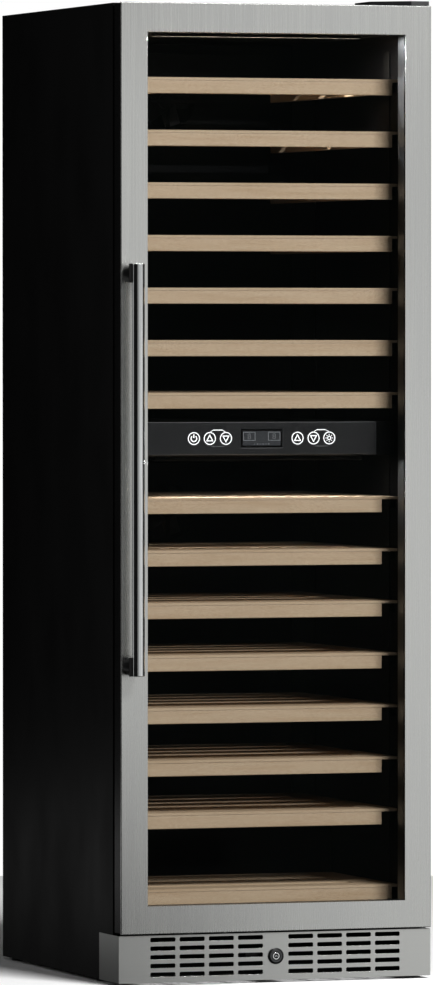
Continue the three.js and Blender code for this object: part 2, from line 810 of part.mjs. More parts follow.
// Round post with a half collar that the bar lies in, cut flat on the window's side so that the bar hides it.
function handlePost(z) {
  const neck = depthRod(barX, z, postRadius, -barStandOff, -gap, 28);
  const collar = uprightRod(barX, -barStandOff, postRadius, z - postRadius, z + postRadius, 28);
  const rearHalf = box(barX - postRadius - 1, barX + postRadius + 1, -barStandOff, 0,
    z - postRadius - 1, z + postRadius + 1);
  const seat = uprightRod(barX, -barStandOff, barRadius + gap, z - postRadius - 1, z + postRadius + 1, 28);
  const flat = box(barX + barRadius - 0.5, barX + postRadius + 1, -barStandOff - 1, 0,
    z - postRadius - 1, z + postRadius + 1);
  return neck.add(collar.intersect(rearHalf)).subtract(seat).subtract(flat);
}

// ---------------------------------------------------------------- hinges

const plateX0 = hingeX - hingePlateWidth * 0.75;
const plateX1 = hingeX + hingePlateWidth * 0.25;
const plateFront = hingeDepth - hingeWasherRadius;

function topHinge() {
  const low = cabinetTop + gap;
  const plate = box(plateX0, plateX1, plateFront, plateFront + topHingeReach, low, low + hingePlateThickness);
  const pin = uprightRod(hingeX, hingeDepth, hingePinRadius, frameTop - hingePinLength + 2, low + 1, 20);
  return plate.add(pin);
}

function bottomHinge() {
  const top = kickTop - gap;
  const low = top - hingePlateThickness;
  const back = cabinetFront - gap;
  const plate = box(plateX0, plateX1, plateFront + 1, back, low, top);
  const leg = box(plateX0, plateX1, back - hingePlateThickness, back, low - lowerHingeLeg, top);
  const rearLeg = box(plateX0, plateX1, back - 1, cabinetFront + 14, low - lowerHingeLeg,
    low - lowerHingeLeg + hingePlateThickness);
  const washer = uprightRod(hingeX, hingeDepth, hingeWasherRadius - 1, top - 1, frameBottom - gap, 20);
  const pin = uprightRod(hingeX, hingeDepth, hingePinRadius, top - 1, frameBottom + hingePinLength - 2, 20);
  return plate.add(leg).add(rearLeg).add(washer).add(pin);
}

// Low moulded cover over the top hinge.
function hingeCover() {
  const right = plateX1 + coverPlay + coverWall;
  const left = right - coverLength;
  const back = coverFront + coverDepth;
  const corner = (inset) => [
    [right - inset, coverFront + inset], [right - inset, back - inset], [left + inset, back - inset],
    [left + inset, coverFront + coverSlant + inset * 0.6], [right - coverLength * 0.35, coverFront + inset],
  ];
  const low = cabinetTop + 0.5;
  const shellTop = low + coverHeight;
  const outside = alongZ(corner(0), low, shellTop);
  return outside.subtract(alongZ(corner(coverWall), low - 1, shellTop - coverWall));
}

// ---------------------------------------------------------------- assembly

addPiece('cabinet_shell', cabinetShell(), 'blackPaint');
addPiece('rear_panel', rearPanel(), 'blackPaint');
addPiece('insulation_foam', insulationFoam(), 'foam');
addPiece('inner_liner', innerLiner(), 'blackPlastic');
addPiece('zone_divider', zoneDivider(), 'blackPlastic');
addPiece('control_panel', controlPanel(), 'panelPlastic');
addPiece('display_window', displayWindow(), 'glass');
const keyNames = ['power', 'upper_up', 'upper_down', 'lower_up', 'lower_down', 'light'];
keyPlaces.sort((a, b) => a - b).forEach((x, i) => addPiece(`key_${keyNames[i]}`, controlKey(x), 'keyPlastic'));
shelfTops().forEach((top, i) => {
  const fullLower = i >= upperShelves && i < upperShelves + lowerShelves;
  const inset = fullLower ? lowerFasciaInset : fasciaInset;
  addPiece(`shelf_${String(i + 1).padStart(2, '0')}`, shelf(top, rearOfShelf(top), inset), 'beech');
});
addPiece('runner_rack_left', runnerRack(-1), 'blackPaint');
addPiece('runner_rack_right', runnerRack(1), 'blackPaint');
addPiece('lamp_upper', lamp(linerCeiling), 'lamp');
addPiece('lamp_lower', lamp(dividerBottom), 'lamp');

const ducts = {
  upper: [dividerTop + ductEndMargin, linerCeiling - ductEndMargin],
  lower: [stepFloor + ductEndMargin, dividerBottom - ductEndMargin],
};
for (const [zone, [bottom, top]] of Object.entries(ducts)) {
  addPiece(`duct_cover_${zone}`, ductCover(bottom, top), 'blackPlastic');
  addPiece(`evaporator_${zone}`, evaporator(bottom), 'aluminium');
  addPiece(`fan_${zone}`, fan(0, top - fanDrop, fanRadius, fanFront, fanThickness), 'blackPlastic');
}

addPiece('compressor', compressor(), 'blackPaint');
addPiece('condenser', condenser(), 'blackPaint');
addPiece('fan_condenser', fan(condenserX, coolingFanZ, coolingFanRadius, coolingFanFront, fanThickness + 6),
  'blackPlastic');
addPiece('base_frame', baseFrame(), 'blackPaint');
for (const [end, y] of Object.entries(footDepths)) {
  addPiece(`foot_${end}_left`, foot(-footX, y), 'rubber');
  addPiece(`foot_${end}_right`, foot(footX, y), 'rubber');
}
addPiece('kickplate', kickplate(), 'steel');
addPiece('lock_housing', lockHousing(), 'blackPlastic');
addPiece('lock_barrel', lockBarrel(), 'chrome');

addPiece('door_skin', doorSkin(), 'steel');
addPiece('door_frame', doorFrame(), 'blackPlastic');
addPiece('glass_outer', pane(skinSheet + 2 * gap), 'glass');
addPiece('glass_inner', pane(doorThickness - paneThickness), 'glass');
addPiece('door_gasket', doorGasket(), 'rubber');
addPiece('handle_bar', uprightRod(barX, -barStandOff, barRadius, barBottom, barTop, 28), 'steel');
addPiece('handle_post_upper', handlePost(barTop - postRadius), 'blackPaint');
addPiece('handle_post_lower', handlePost(barBottom + postRadius), 'blackPaint');
addPiece('hinge_top', topHinge(), 'zinc');
addPiece('hinge_bottom', bottomHinge(), 'zinc');
addPiece('hinge_cover', hingeCover(), 'blackPlastic');

object.position.y = -centreDepth;

export default object;
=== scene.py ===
"""Looks of a tall dual-zone wine cooler: its finishes, its detailed pieces, a plain studio and a camera."""

import json
import logging
import math
from collections.abc import Callable, Sequence
from dataclasses import dataclass, field
from enum import Enum

import bmesh
import bpy
from mathutils import Matrix, Vector

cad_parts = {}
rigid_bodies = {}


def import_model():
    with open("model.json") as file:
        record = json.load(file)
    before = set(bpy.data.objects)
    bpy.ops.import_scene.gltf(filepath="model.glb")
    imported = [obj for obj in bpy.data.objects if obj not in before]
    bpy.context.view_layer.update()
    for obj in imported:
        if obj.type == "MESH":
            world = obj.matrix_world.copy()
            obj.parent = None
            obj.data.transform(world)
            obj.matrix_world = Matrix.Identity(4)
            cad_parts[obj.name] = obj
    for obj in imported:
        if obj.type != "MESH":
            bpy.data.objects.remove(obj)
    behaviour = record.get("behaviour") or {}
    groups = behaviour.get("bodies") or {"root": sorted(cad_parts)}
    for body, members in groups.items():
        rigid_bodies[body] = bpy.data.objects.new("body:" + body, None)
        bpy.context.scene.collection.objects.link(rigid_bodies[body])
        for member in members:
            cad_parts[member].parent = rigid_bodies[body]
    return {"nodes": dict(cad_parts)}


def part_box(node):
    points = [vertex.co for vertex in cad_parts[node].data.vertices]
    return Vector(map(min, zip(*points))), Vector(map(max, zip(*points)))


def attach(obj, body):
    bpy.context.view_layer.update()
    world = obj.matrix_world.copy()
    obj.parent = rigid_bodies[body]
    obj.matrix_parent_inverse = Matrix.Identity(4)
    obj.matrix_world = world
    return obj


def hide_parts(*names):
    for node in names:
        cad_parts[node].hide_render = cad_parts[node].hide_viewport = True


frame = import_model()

log = logging.getLogger("wine_cooler")

MM = 0.001  # metres in a millimetre
Point = tuple[float, float]
Value = float | int | bool | bpy.types.Material
Shape = bmesh.types.BMesh
Tree = bpy.types.NodeTree
Node = bpy.types.Node
Socket = bpy.types.NodeSocket


# ------------------------------------------------------------------ nodes and colours


def linear(colour: str) -> tuple[float, float, float, float]:
    """Turns an sRGB hex colour into linear light.

    Args:
        colour: six hex digits, with or without a leading #.

    Returns:
        Red, green and blue, and an alpha of one.
    """
    digits = colour.lstrip("#")
    parts = [int(digits[i : i + 2], 16) / 255 for i in (0, 2, 4)]
    red, green, blue = [c / 12.92 if c <= 0.04045 else ((c + 0.055) / 1.055) ** 2.4 for c in parts]
    return red, green, blue, 1.0


def add_node(tree: Tree, kind: str, inputs: dict | None = None, **settings: object) -> Node:
    """Adds one node with its settings, values and links.

    Args:
        tree: the shader or geometry tree.
        kind: the node's type name.
        inputs: a value or an output socket for each input, by the input's name or number.
        settings: the node's own fields.

    Returns:
        The new node.
    """
    node = tree.nodes.new(kind)
    for name, value in settings.items():
        setattr(node, name, value)
    for key, value in (inputs or {}).items():
        if isinstance(value, Socket):
            tree.links.new(value, node.inputs[key])
        else:
            node.inputs[key].default_value = value
    return node


# ------------------------------------------------------------------ finishes


class Grain(Enum):
    """Direction in which a surface was brushed or sawn."""

    ACROSS = "across"
    UPRIGHT = "upright"

    def stretch(self, fine: float, long: float) -> tuple[float, float, float]:
        """Returns a pattern's scale per metre, `long` mm along the grain and `fine` mm across it."""
        along, across = 1 / (long * MM), 1 / (fine * MM)
        return (along, across, across) if self is Grain.ACROSS else (across, across, along)


@dataclass(frozen=True)
class Finish:
    """A surface finish, in an sRGB colour. Subclasses draw the detail that the real one shows."""

    name: str
    colour: str
    roughness: float
    metallic: float = 0.0
    ior: float = 1.5
    specular: float = 0.5

    def material(self) -> bpy.types.Material:
        """Builds the finish as a material, once.

        Returns:
            The material.
        """
        known = bpy.data.materials.get(self.name)
        if known:
            return known
        made = bpy.data.materials.new(self.name)
        made.use_nodes = True
        surface = made.node_tree.nodes["Principled BSDF"]
        surface.inputs["Base Color"].default_value = linear(self.colour)
        surface.inputs["Roughness"].default_value = self.roughness
        surface.inputs["Metallic"].default_value = self.metallic
        surface.inputs["Specular IOR Level"].default_value = self.specular
        if not self.metallic:
            surface.inputs["IOR"].default_value = self.ior
        self.draw(made.node_tree, surface)
        return made

    def draw(self, tree: Tree, surface: Node) -> None:
        """Adds the finish's pattern to its tree. A plain finish has none."""

    def noise(self, tree: Tree, scale: Sequence[float], detail: float = 2.0, rough: float = 0.5) -> Socket:
        """Adds noise on the piece's own coordinates.

        Args:
            tree: the material's tree.
            scale: features per metre along each axis.
            detail: octaves of finer noise.
            rough: how strong the finer octaves are.

        Returns:
            The noise from 0 to 1.
        """
        place = add_node(tree, "ShaderNodeTexCoord").outputs["Object"]
        mapped = add_node(tree, "ShaderNodeMapping", {"Vector": place, "Scale": tuple(scale)})
        sizes = {"Vector": mapped.outputs[0], "Scale": 1.0, "Detail": detail, "Roughness": rough}
        return add_node(tree, "ShaderNodeTexNoise", sizes).outputs[0]

    def between(self, tree: Tree, amount: Socket, low: float, high: float) -> Socket:
        """Returns a noise's middle part, which is most of it, spread over low to high."""
        return add_node(tree, "ShaderNodeMapRange", {0: amount, 1: 0.3, 2: 0.7, 3: low, 4: high}).outputs[0]

    def tones(self, tree: Tree, amount: Socket, stops: Sequence[tuple[float, str]]) -> Socket:
        """Turns a number into a colour.

        Args:
            tree: the material's tree.
            amount: the number, from 0 to 1.
            stops: each tone's place from 0 to 1, and its sRGB hex colour.

        Returns:
            The colour.
        """
        ramp = add_node(tree, "ShaderNodeValToRGB", {0: amount})
        elements = ramp.color_ramp.elements
        while len(elements) < len(stops):
            elements.new(0.5)
        for element, (place, colour) in zip(elements, stops):
            element.position = place
            element.color = linear(colour)
        return ramp.outputs[0]

    def relief(self, tree: Tree, surface: Node, height: Socket, depth: float, strength: float) -> None:
        """Adds bump to the surface.

        Args:
            tree: the material's tree.
            surface: its shader.
            height: the pattern to raise.
            depth: how deep it is, in millimetres.
            strength: the share of it that shows.
        """
        sizes = {"Height": height, "Distance": depth * MM, "Strength": strength}
        tree.links.new(add_node(tree, "ShaderNodeBump", sizes).outputs[0], surface.inputs["Normal"])


@dataclass(frozen=True)
class BrushedSteel(Finish):
    """Ferritic stainless sheet, belt-brushed one way. Long hairlines break its gleam into soft streaks."""

    grain: Grain = Grain.UPRIGHT
    dark: str = "#BCBDBB"
    hairline: float = 0.9  # really 0.1 to 0.3 mm, drawn coarser so that it shows

    def draw(self, tree: Tree, surface: Node) -> None:
        """Adds hairlines to the tone, the gloss and the relief.

        Args:
            tree: the material's tree.
            surface: its shader.
        """
        lines = self.noise(tree, self.grain.stretch(self.hairline, 260), 3.0, 0.6)
        cloud = self.noise(tree, self.grain.stretch(90, 700), 1.0)
        both = add_node(tree, "ShaderNodeMath", {0: lines, 1: cloud}, operation="ADD").outputs[0]
        half = add_node(tree, "ShaderNodeMath", {0: both, 1: 0.5}, operation="MULTIPLY").outputs[0]
        tone = self.tones(tree, half, [(0.36, self.dark), (0.62, self.colour)])
        tree.links.new(tone, surface.inputs["Base Color"])
        gloss = self.between(tree, lines, self.roughness - 0.01, self.roughness + 0.02)
        tree.links.new(gloss, surface.inputs["Roughness"])
        self.relief(tree, surface, lines, 0.001, 0.2)


@dataclass(frozen=True)
class PolishedSteel(Finish):
    """Drawn stainless tube, buffed bright. It mirrors the room in upright bands with a faint haze."""

    hairline: float = 0.9  # finer on the real tube, drawn coarser so that it shows

    def draw(self, tree: Tree, surface: Node) -> None:
        """Adds the haze that buffing leaves.

        Args:
            tree: the material's tree.
            surface: its shader.
        """
        lines = self.noise(tree, Grain.UPRIGHT.stretch(self.hairline, 120), 2.0)
        gloss = self.between(tree, lines, self.roughness - 0.03, self.roughness + 0.05)
        tree.links.new(gloss, surface.inputs["Roughness"])
        tone = self.tones(tree, lines, [(0.3, "#C4C6C6"), (0.7, self.colour)])
        tree.links.new(tone, surface.inputs["Base Color"])


@dataclass(frozen=True)
class SatinPaint(Finish):
    """Baked paint on sheet steel. A shallow orange peel softens its highlights."""

    peel: float = 3.2  # mm from one swell of the orange peel to the next
    lighter: str = "#141416"

    def draw(self, tree: Tree, surface: Node) -> None:
        """Adds the orange peel and a slight drift of gloss.

        Args:
            tree: the material's tree.
            surface: its shader.
        """
        peel = self.noise(tree, (1 / (self.peel * MM),) * 3, 1.0)
        drift = self.noise(tree, (9, 9, 5), 2.0)
        gloss = self.between(tree, drift, self.roughness - 0.05, self.roughness + 0.06)
        tree.links.new(gloss, surface.inputs["Roughness"])
        tone = self.tones(tree, drift, [(0.3, self.colour), (0.7, self.lighter)])
        tree.links.new(tone, surface.inputs["Base Color"])
        self.relief(tree, surface, peel, 0.02, 0.35)


@dataclass(frozen=True)
class MouldedPlastic(Finish):
    """Moulded ABS or polystyrene with a fine spark-eroded skin, which gives it a soft even sheen."""

    texture: float = 0.9  # mm, really about 0.1, drawn coarser so that it shows
    lighter: str = "#202123"
    depth: float = 0.02

    def draw(self, tree: Tree, surface: Node) -> None:
        """Adds the skin's speckle to the relief, the tone and the gloss.

        Args:
            tree: the material's tree.
            surface: its shader.
        """
        speckle = self.noise(tree, (1 / (self.texture * MM),) * 3, 2.0, 0.6)
        flow = self.noise(tree, (6, 6, 6), 1.0)
        tone = self.tones(tree, flow, [(0.3, self.colour), (0.7, self.lighter)])
        tree.links.new(tone, surface.inputs["Base Color"])
        gloss = self.between(tree, speckle, self.roughness - 0.04, self.roughness + 0.05)
        tree.links.new(gloss, surface.inputs["Roughness"])
        self.relief(tree, surface, speckle, self.depth, 0.4)


@dataclass(frozen=True)
class BeechWood(Finish):
    """Planed and clear-lacquered beech: straight pale grain with short darker flecks."""

    growth: float = 6.0  # mm between growth lines
    dark: str = "#CAB08F"
    fleck: str = "#B0926F"

    def draw(self, tree: Tree, surface: Node) -> None:
        """Adds growth lines, flecks and the lacquer's slight relief.

        Args:
            tree: the material's tree.
            surface: its shader.
        """
        lines = self.noise(tree, Grain.ACROSS.stretch(self.growth, 150), 2.0, 0.5)
        flecks = self.noise(tree, Grain.ACROSS.stretch(1.4, 4.5), 2.0, 0.6)
        tone = self.tones(tree, lines, [(0.25, self.dark), (0.5, self.colour), (0.75, "#D6C0A1")])
        spots = add_node(tree, "ShaderNodeMapRange", {0: flecks, 1: 0.42, 2: 0.68, 3: 0.0, 4: 0.5})
        blend = {0: spots.outputs[0], 6: tone, 7: linear(self.fleck)}
        mix = add_node(tree, "ShaderNodeMix", blend, data_type="RGBA")
        tree.links.new(mix.outputs[2], surface.inputs["Base Color"])
        gloss = self.between(tree, lines, self.roughness - 0.05, self.roughness + 0.08)
        tree.links.new(gloss, surface.inputs["Roughness"])
        self.relief(tree, surface, lines, 0.05, 0.4)


@dataclass(frozen=True)
class ZincPlate(Finish):
    """Bright zinc on pressed steel, with the faint patchwork of its crystals."""

    spangle: float = 9.0  # mm across a crystal
    darker: str = "#8E9194"

    def draw(self, tree: Tree, surface: Node) -> None:
        """Adds crystal patches to the tone and the gloss.

        Args:
            tree: the material's tree.
            surface: its shader.
        """
        place = add_node(tree, "ShaderNodeTexCoord").outputs["Object"]
        cells = add_node(tree, "ShaderNodeTexVoronoi", {"Vector": place, "Scale": 1 / (self.spangle * MM)})
        patch = add_node(tree, "ShaderNodeSeparateColor", {0: cells.outputs["Color"]}).outputs[0]
        tone = self.tones(tree, patch, [(0.1, self.darker), (0.9, self.colour)])
        tree.links.new(tone, surface.inputs["Base Color"])
        gloss = self.between(tree, patch, self.roughness - 0.06, self.roughness + 0.1)
        tree.links.new(gloss, surface.inputs["Roughness"])


@dataclass(frozen=True)
class TintedGlass(Finish):
    """Grey float glass with a thin reflective film: clear to look through, and it darkens what is behind."""

    density: float = 0.1  # the share of light that the glass and its film hold back

    def draw(self, tree: Tree, surface: Node) -> None:
        """Lets most light through, and adds the slight waves of rolled glass.

        Args:
            tree: the material's tree.
            surface: its shader.
        """
        surface.inputs["Alpha"].default_value = self.density
        waves = self.noise(tree, (7, 7, 2.5), 1.0)
        gloss = self.between(tree, waves, self.roughness, self.roughness + 0.02)
        tree.links.new(gloss, surface.inputs["Roughness"])
        tone = self.tones(tree, waves, [(0.3, self.colour), (0.7, "#040605")])
        tree.links.new(tone, surface.inputs["Base Color"])


@dataclass(frozen=True)
class SoftRubber(Finish):
    """Extruded rubber or soft PVC: matt, with fine lines from the die."""

    def draw(self, tree: Tree, surface: Node) -> None:
        """Adds a dusty mottling and shallow relief.

        Args:
            tree: the material's tree.
            surface: its shader.
        """
        dust = self.noise(tree, (160, 160, 160), 3.0)
        tone = self.tones(tree, dust, [(0.35, self.colour), (0.7, "#1C1C1D")])
        tree.links.new(tone, surface.inputs["Base Color"])
        gloss = self.between(tree, dust, self.roughness - 0.05, self.roughness + 0.08)
        tree.links.new(gloss, surface.inputs["Roughness"])
        self.relief(tree, surface, dust, 0.03, 0.4)


@dataclass(frozen=True)
class RigidFoam(Finish):
    """Poured polyurethane foam: matt and cellular."""

    cells_per_metre: float = 420.0  # cells of 2.4 mm, coarser than the real ones so that they show

    def draw(self, tree: Tree, surface: Node) -> None:
        """Adds the foam's cells.

        Args:
            tree: the material's tree.
            surface: its shader.
        """
        place = add_node(tree, "ShaderNodeTexCoord").outputs["Object"]
        cells = add_node(tree, "ShaderNodeTexVoronoi", {"Vector": place, "Scale": self.cells_per_metre})
        tone = self.tones(tree, cells.outputs["Distance"], [(0.1, "#C9BA85"), (0.6, self.colour)])
        tree.links.new(tone, surface.inputs["Base Color"])
        self.relief(tree, surface, cells.outputs["Distance"], 0.4, 0.6)


@dataclass(frozen=True)
class PrintedInk(Finish):
    """White screen-printed ink, slightly grainy at its surface, with a painted glow: emission that brightens
    it though no lamp is behind it.
    """

    painted_glow: float = 1.6  # strength of the painted glow, an emission in the ink's own tone

    def draw(self, tree: Tree, surface: Node) -> None:
        """Adds the ink's grain and a painted glow, an emission in the ink's own tone.

        Args:
            tree: the material's tree.
            surface: its shader.
        """
        grain = self.noise(tree, (1400, 1400, 1400), 1.0)
        tone = self.tones(tree, grain, [(0.25, "#C9CBCD"), (0.6, self.colour)])
        tree.links.new(tone, surface.inputs["Base Color"])
        tree.links.new(tone, surface.inputs["Emission Color"])
        surface.inputs["Emission Strength"].default_value = self.painted_glow


@dataclass(frozen=True)
class LampDiffuser(Finish):
    """Opal acrylic over a strip of diodes: it glows evenly, a little brighter over each diode."""

    strength: float = 0.1
    pitch: float = 16.0  # mm from one diode to the next

    def draw(self, tree: Tree, surface: Node) -> None:
        """Adds the row of diodes behind the opal cover.

        Args:
            tree: the material's tree.
            surface: its shader.
        """
        place = add_node(tree, "ShaderNodeTexCoord").outputs["Object"]
        across = add_node(tree, "ShaderNodeSeparateXYZ", {0: place}).outputs[0]
        per_metre = 2 * math.pi / (self.pitch * MM)
        turns = add_node(tree, "ShaderNodeMath", {0: across, 1: per_metre}, operation="MULTIPLY")
        wave = add_node(tree, "ShaderNodeMath", {0: turns.outputs[0]}, operation="COSINE").outputs[0]
        tone = self.tones(tree, wave, [(0.0, "#DDE6F2"), (1.0, self.colour)])
        tree.links.new(tone, surface.inputs["Base Color"])
        tree.links.new(tone, surface.inputs["Emission Color"])
        surface.inputs["Emission Strength"].default_value = self.strength


# Brushed and polished stainless: a soft sheen with fine lines on the sheets, clear mirror bands on the tube.
DOOR_STEEL = BrushedSteel("brushed_stainless_upright", "#C0C1BE", 0.26, 1.0)
KICK_STEEL = BrushedSteel("brushed_stainless_across", "#C0C1BE", 0.29, 1.0, grain=Grain.ACROSS)
TUBE_STEEL = PolishedSteel("polished_stainless_tube", "#E2E4E4", 0.13, 1.0)
CHROME = PolishedSteel("chromed_zinc_casting", "#E6E8EA", 0.1, 1.0)

# Black paints: nearly no colour, and a broad dull highlight that shows where a sheet turns.
CABINET_PAINT = SatinPaint("black_baked_paint", "#060606", 0.42, specular=0.08, lighter="#0A0A0A")
RACK_PAINT = SatinPaint("black_epoxy_rack_paint", "#040404", 0.6, specular=0.1, lighter="#060606")
POST_PAINT = SatinPaint("black_satin_enamel", "#030303", 0.3, specular=0.15, peel=2.0, lighter="#060606")

# Moulded plastics, from the dark liner to the grey panel: even, with a slight speckle in the sheen.
LINER_PLASTIC = MouldedPlastic("black_liner_plastic", "#020203", 0.5, specular=0.06, lighter="#040405")
FRAME_PLASTIC = MouldedPlastic(
    "black_frame_plastic", "#050506", 0.3, specular=0.12, texture=2.4, lighter="#080809", depth=0.008
)
TRIM_PLASTIC = MouldedPlastic("black_trim_plastic", "#121214", 0.4, lighter="#18181A")
PANEL_PLASTIC = MouldedPlastic("charcoal_panel_plastic", "#1E1F20", 0.35, specular=0.3, lighter="#242526")
# The panel's rounded edges take a lighter grey: a painted highlight along them.
PANEL_EDGE_HIGHLIGHT = MouldedPlastic("panel_edge_painted_highlight", "#36383A", 0.35, specular=0.3, lighter="#3C3E40")
KEY_PLASTIC = MouldedPlastic("charcoal_key_plastic", "#262728", 0.24, lighter="#2C2D2E")
BEZEL_PLASTIC = MouldedPlastic("black_display_bezel", "#020202", 0.35, specular=0.12, lighter="#040404")
DISPLAY_PLASTIC = MouldedPlastic(
    "smoked_display_plastic", "#34373A", 0.15, texture=4.0, lighter="#3C3F42", depth=0.004
)

# Inks: crisp white signs with a painted glow, and the grey of what is switched off, with a faint painted
# glow.
WHITE_INK = PrintedInk("white_printed_ink", "#F4F5F6", 0.5)
DIM_INK = PrintedInk("unlit_display_segments", "#787D82", 0.5, painted_glow=0.03)
FAINT_INK = PrintedInk("faint_grey_ink", "#5A5C5E", 0.5, painted_glow=0.0)

# Plated and plain metals that are out of sight until the door or the rear sheet is off: dull grey patches.
ZINC = ZincPlate("bright_zinc_plate", "#A9ACAF", 0.4, 1.0)
SPACER = ZincPlate("anodised_spacer_bar", "#66686A", 0.42, 1.0, spangle=40.0, darker="#5C5E60")
ALUMINIUM = ZincPlate("mill_aluminium", "#C3C6C8", 0.38, 1.0, spangle=3.0)

# Warm pale wood, dark clear glass, matt rubber, yellowed foam and an opal cover that glows.
BEECH = BeechWood("lacquered_beech", "#D4BC9D", 0.42)
GLASS = TintedGlass("grey_tinted_glass", "#020303", 0.03, specular=0.04)
SEAL_RUBBER = SoftRubber("black_seal_rubber", "#0E0E0F", 0.62)
FOOT_RUBBER = SoftRubber("black_foot_rubber", "#121213", 0.75)
FOAM = RigidFoam("polyurethane_foam", "#E3D6A2", 0.9)
LAMP = LampDiffuser("opal_lamp_cover", "#F6FAFF", 0.4)


# ------------------------------------------------------------------ mesh making


def tidy(mesh: bpy.types.Mesh, angle: float = 50.0) -> bpy.types.Mesh:
    """Shades a mesh smooth, with its large faces flat and its edges sharp above an angle in degrees.

    Args:
        mesh: the mesh, which this replaces.
        angle: the sharpest turn that is still shaded smooth.

    Returns:
        The shaded mesh.
    """
    mesh.shade_smooth()
    mesh.set_sharp_from_angle(angle=math.radians(angle))
    holder = bpy.data.objects.new("holder", mesh)
    bpy.context.scene.collection.objects.link(holder)
    weights = holder.modifiers.new("weights", "WEIGHTED_NORMAL")
    weights.weight = 100
    weights.keep_sharp = True
    evaluated = holder.evaluated_get(bpy.context.evaluated_depsgraph_get())
    shaded = bpy.data.meshes.new_from_object(evaluated)
    name = mesh.name
    bpy.data.objects.remove(holder)
    bpy.data.meshes.remove(mesh)
    shaded.name = name
    return shaded


def to_mesh(name: str, shape: Shape, angle: float = 50.0) -> bpy.types.Mesh:
    """Turns a shape into a shaded mesh.

    Args:
        name: the mesh's name.
        shape: the shape, which this frees.
        angle: the sharpest turn, in degrees, that is still shaded smooth.

    Returns:
        The mesh.
    """
    mesh = bpy.data.meshes.new(name)
    shape.to_mesh(mesh)
    shape.free()
    return tidy(mesh, angle)


def round_edges(shape: Shape, width: float, segments: int = 2) -> None:
    """Rounds a shape's sharp edges, which are those that turn by more than 30 degrees.

    Args:
        shape: a closed shape.
        width: the rounding in millimetres.
        segments: how many faces make the rounding.
    """
    limit = math.radians(30)
    edges = [e for e in shape.edges if len(e.link_faces) == 2 and e.calc_face_angle(0) > limit]
    bmesh.ops.bevel(
        shape, geom=edges, offset=width * MM, offset_type="OFFSET", segments=segments, profile=0.5,
        affect="EDGES", clamp_overlap=True,
    )


def merged(shape: Shape) -> None:
    """Merges doubled points and dissolves the seams inside flat faces."""
    bmesh.ops.remove_doubles(shape, verts=shape.verts, dist=2e-6)
    bmesh.ops.dissolve_limit(shape, angle_limit=math.radians(1), verts=shape.verts, edges=shape.edges)


def softened(node: str, width: float, segments: int = 2) -> Shape:
    """Copies a CAD node and rounds its edges.

    Args:
        node: the node's name.
        width: the rounding in millimetres.
        segments: how many faces make the rounding.

    Returns:
        The rounded copy.
    """
    shape = bmesh.new()
    shape.from_mesh(frame["nodes"][node].data)
    merged(shape)
    round_edges(shape, width, segments)
    return shape


def rounded_box(shape: Shape, low: Vector, high: Vector, radius: float) -> None:
    """Adds a box with rounded edges.

    Args:
        shape: the bmesh it is added to.
        low: its lowest corner in metres.
        high: its highest corner in metres.
        radius: the rounding in millimetres.
    """
    made = bmesh.new()
    place = Matrix.Translation((low + high) / 2) @ Matrix.Diagonal((*(high - low), 1))
    bmesh.ops.create_cube(made, size=1.0, matrix=place)
    round_edges(made, radius)
    held = bpy.data.meshes.new("held")
    made.to_mesh(held)
    made.free()
    shape.from_mesh(held)
    bpy.data.meshes.remove(held)


def lathed(profile: Sequence[Point], centre: Vector, steps: int = 48) -> Shape:
    """Turns a profile about an axis that points to the front.

    Args:
        profile: radius and distance in front of the centre, in millimetres. It runs from the axis back to
            the axis, or is a closed outline that stays clear of it.
        centre: the axis's origin in metres.
        steps: faces round the axis.

    Returns:
        The closed shape.
    """
    shape = bmesh.new()
    turns = [2 * math.pi * i / steps for i in range(steps)]
    rings: list[list[bmesh.types.BMVert]] = []
    for radius, ahead in profile:
        y, r = centre.y - ahead * MM, radius * MM
        points = [(centre.x + r * math.cos(t), y, centre.z + r * math.sin(t)) for t in turns]
        rings.append([shape.verts.new(point) for point in (points if radius > 0 else points[:1])])
    clear_of_axis = profile[0][0] > 0
    for first, second in zip(rings, rings[1:] + rings[:1] if clear_of_axis else rings[1:]):
        for i in range(steps):
            j = (i + 1) % steps
            corners = [first[k % len(first)] for k in (i, j)] + [second[k % len(second)] for k in (j, i)]
            face = list(dict.fromkeys(corners))  # a triangle where a ring is one point
            if len(face) > 2:
                shape.faces.new(face)
    bmesh.ops.recalc_face_normals(shape, faces=shape.faces)
    return shape


@dataclass(frozen=True)
class Border:
    """A closed section run round an upright rectangle, with mitred corners.

    The rectangle and its face are in metres. The border is wider at its top by top_extra, in millimetres.
    """

    left: float
    right: float
    bottom: float
    top: float
    face: float
    top_extra: float = 0.0

    def loft(self, section: Sequence[Point]) -> Shape:
        """Runs a section round the rectangle.

        Args:
            section: inset from the rectangle and depth behind the face, in millimetres, as a closed outline.

        Returns:
            The closed shape.
        """
        shape = bmesh.new()
        loops = []
        middle = max(point[0] for point in section) / 2
        for inset, depth in section:
            i, y = inset * MM, self.face + depth * MM
            top = self.top - i - (self.top_extra * MM if inset > middle else 0)  # the outer edge stays
            corners = (
                (self.left + i, y, self.bottom + i),
                (self.right - i, y, self.bottom + i),
                (self.right - i, y, top),
                (self.left + i, y, top),
            )
            loops.append([shape.verts.new(corner) for corner in corners])
        for first, second in zip(loops, loops[1:] + loops[:1]):
            for i in range(4):
                j = (i + 1) % 4
                shape.faces.new((first[i], first[j], second[j], second[i]))
        bmesh.ops.recalc_face_normals(shape, faces=shape.faces)
        return shape


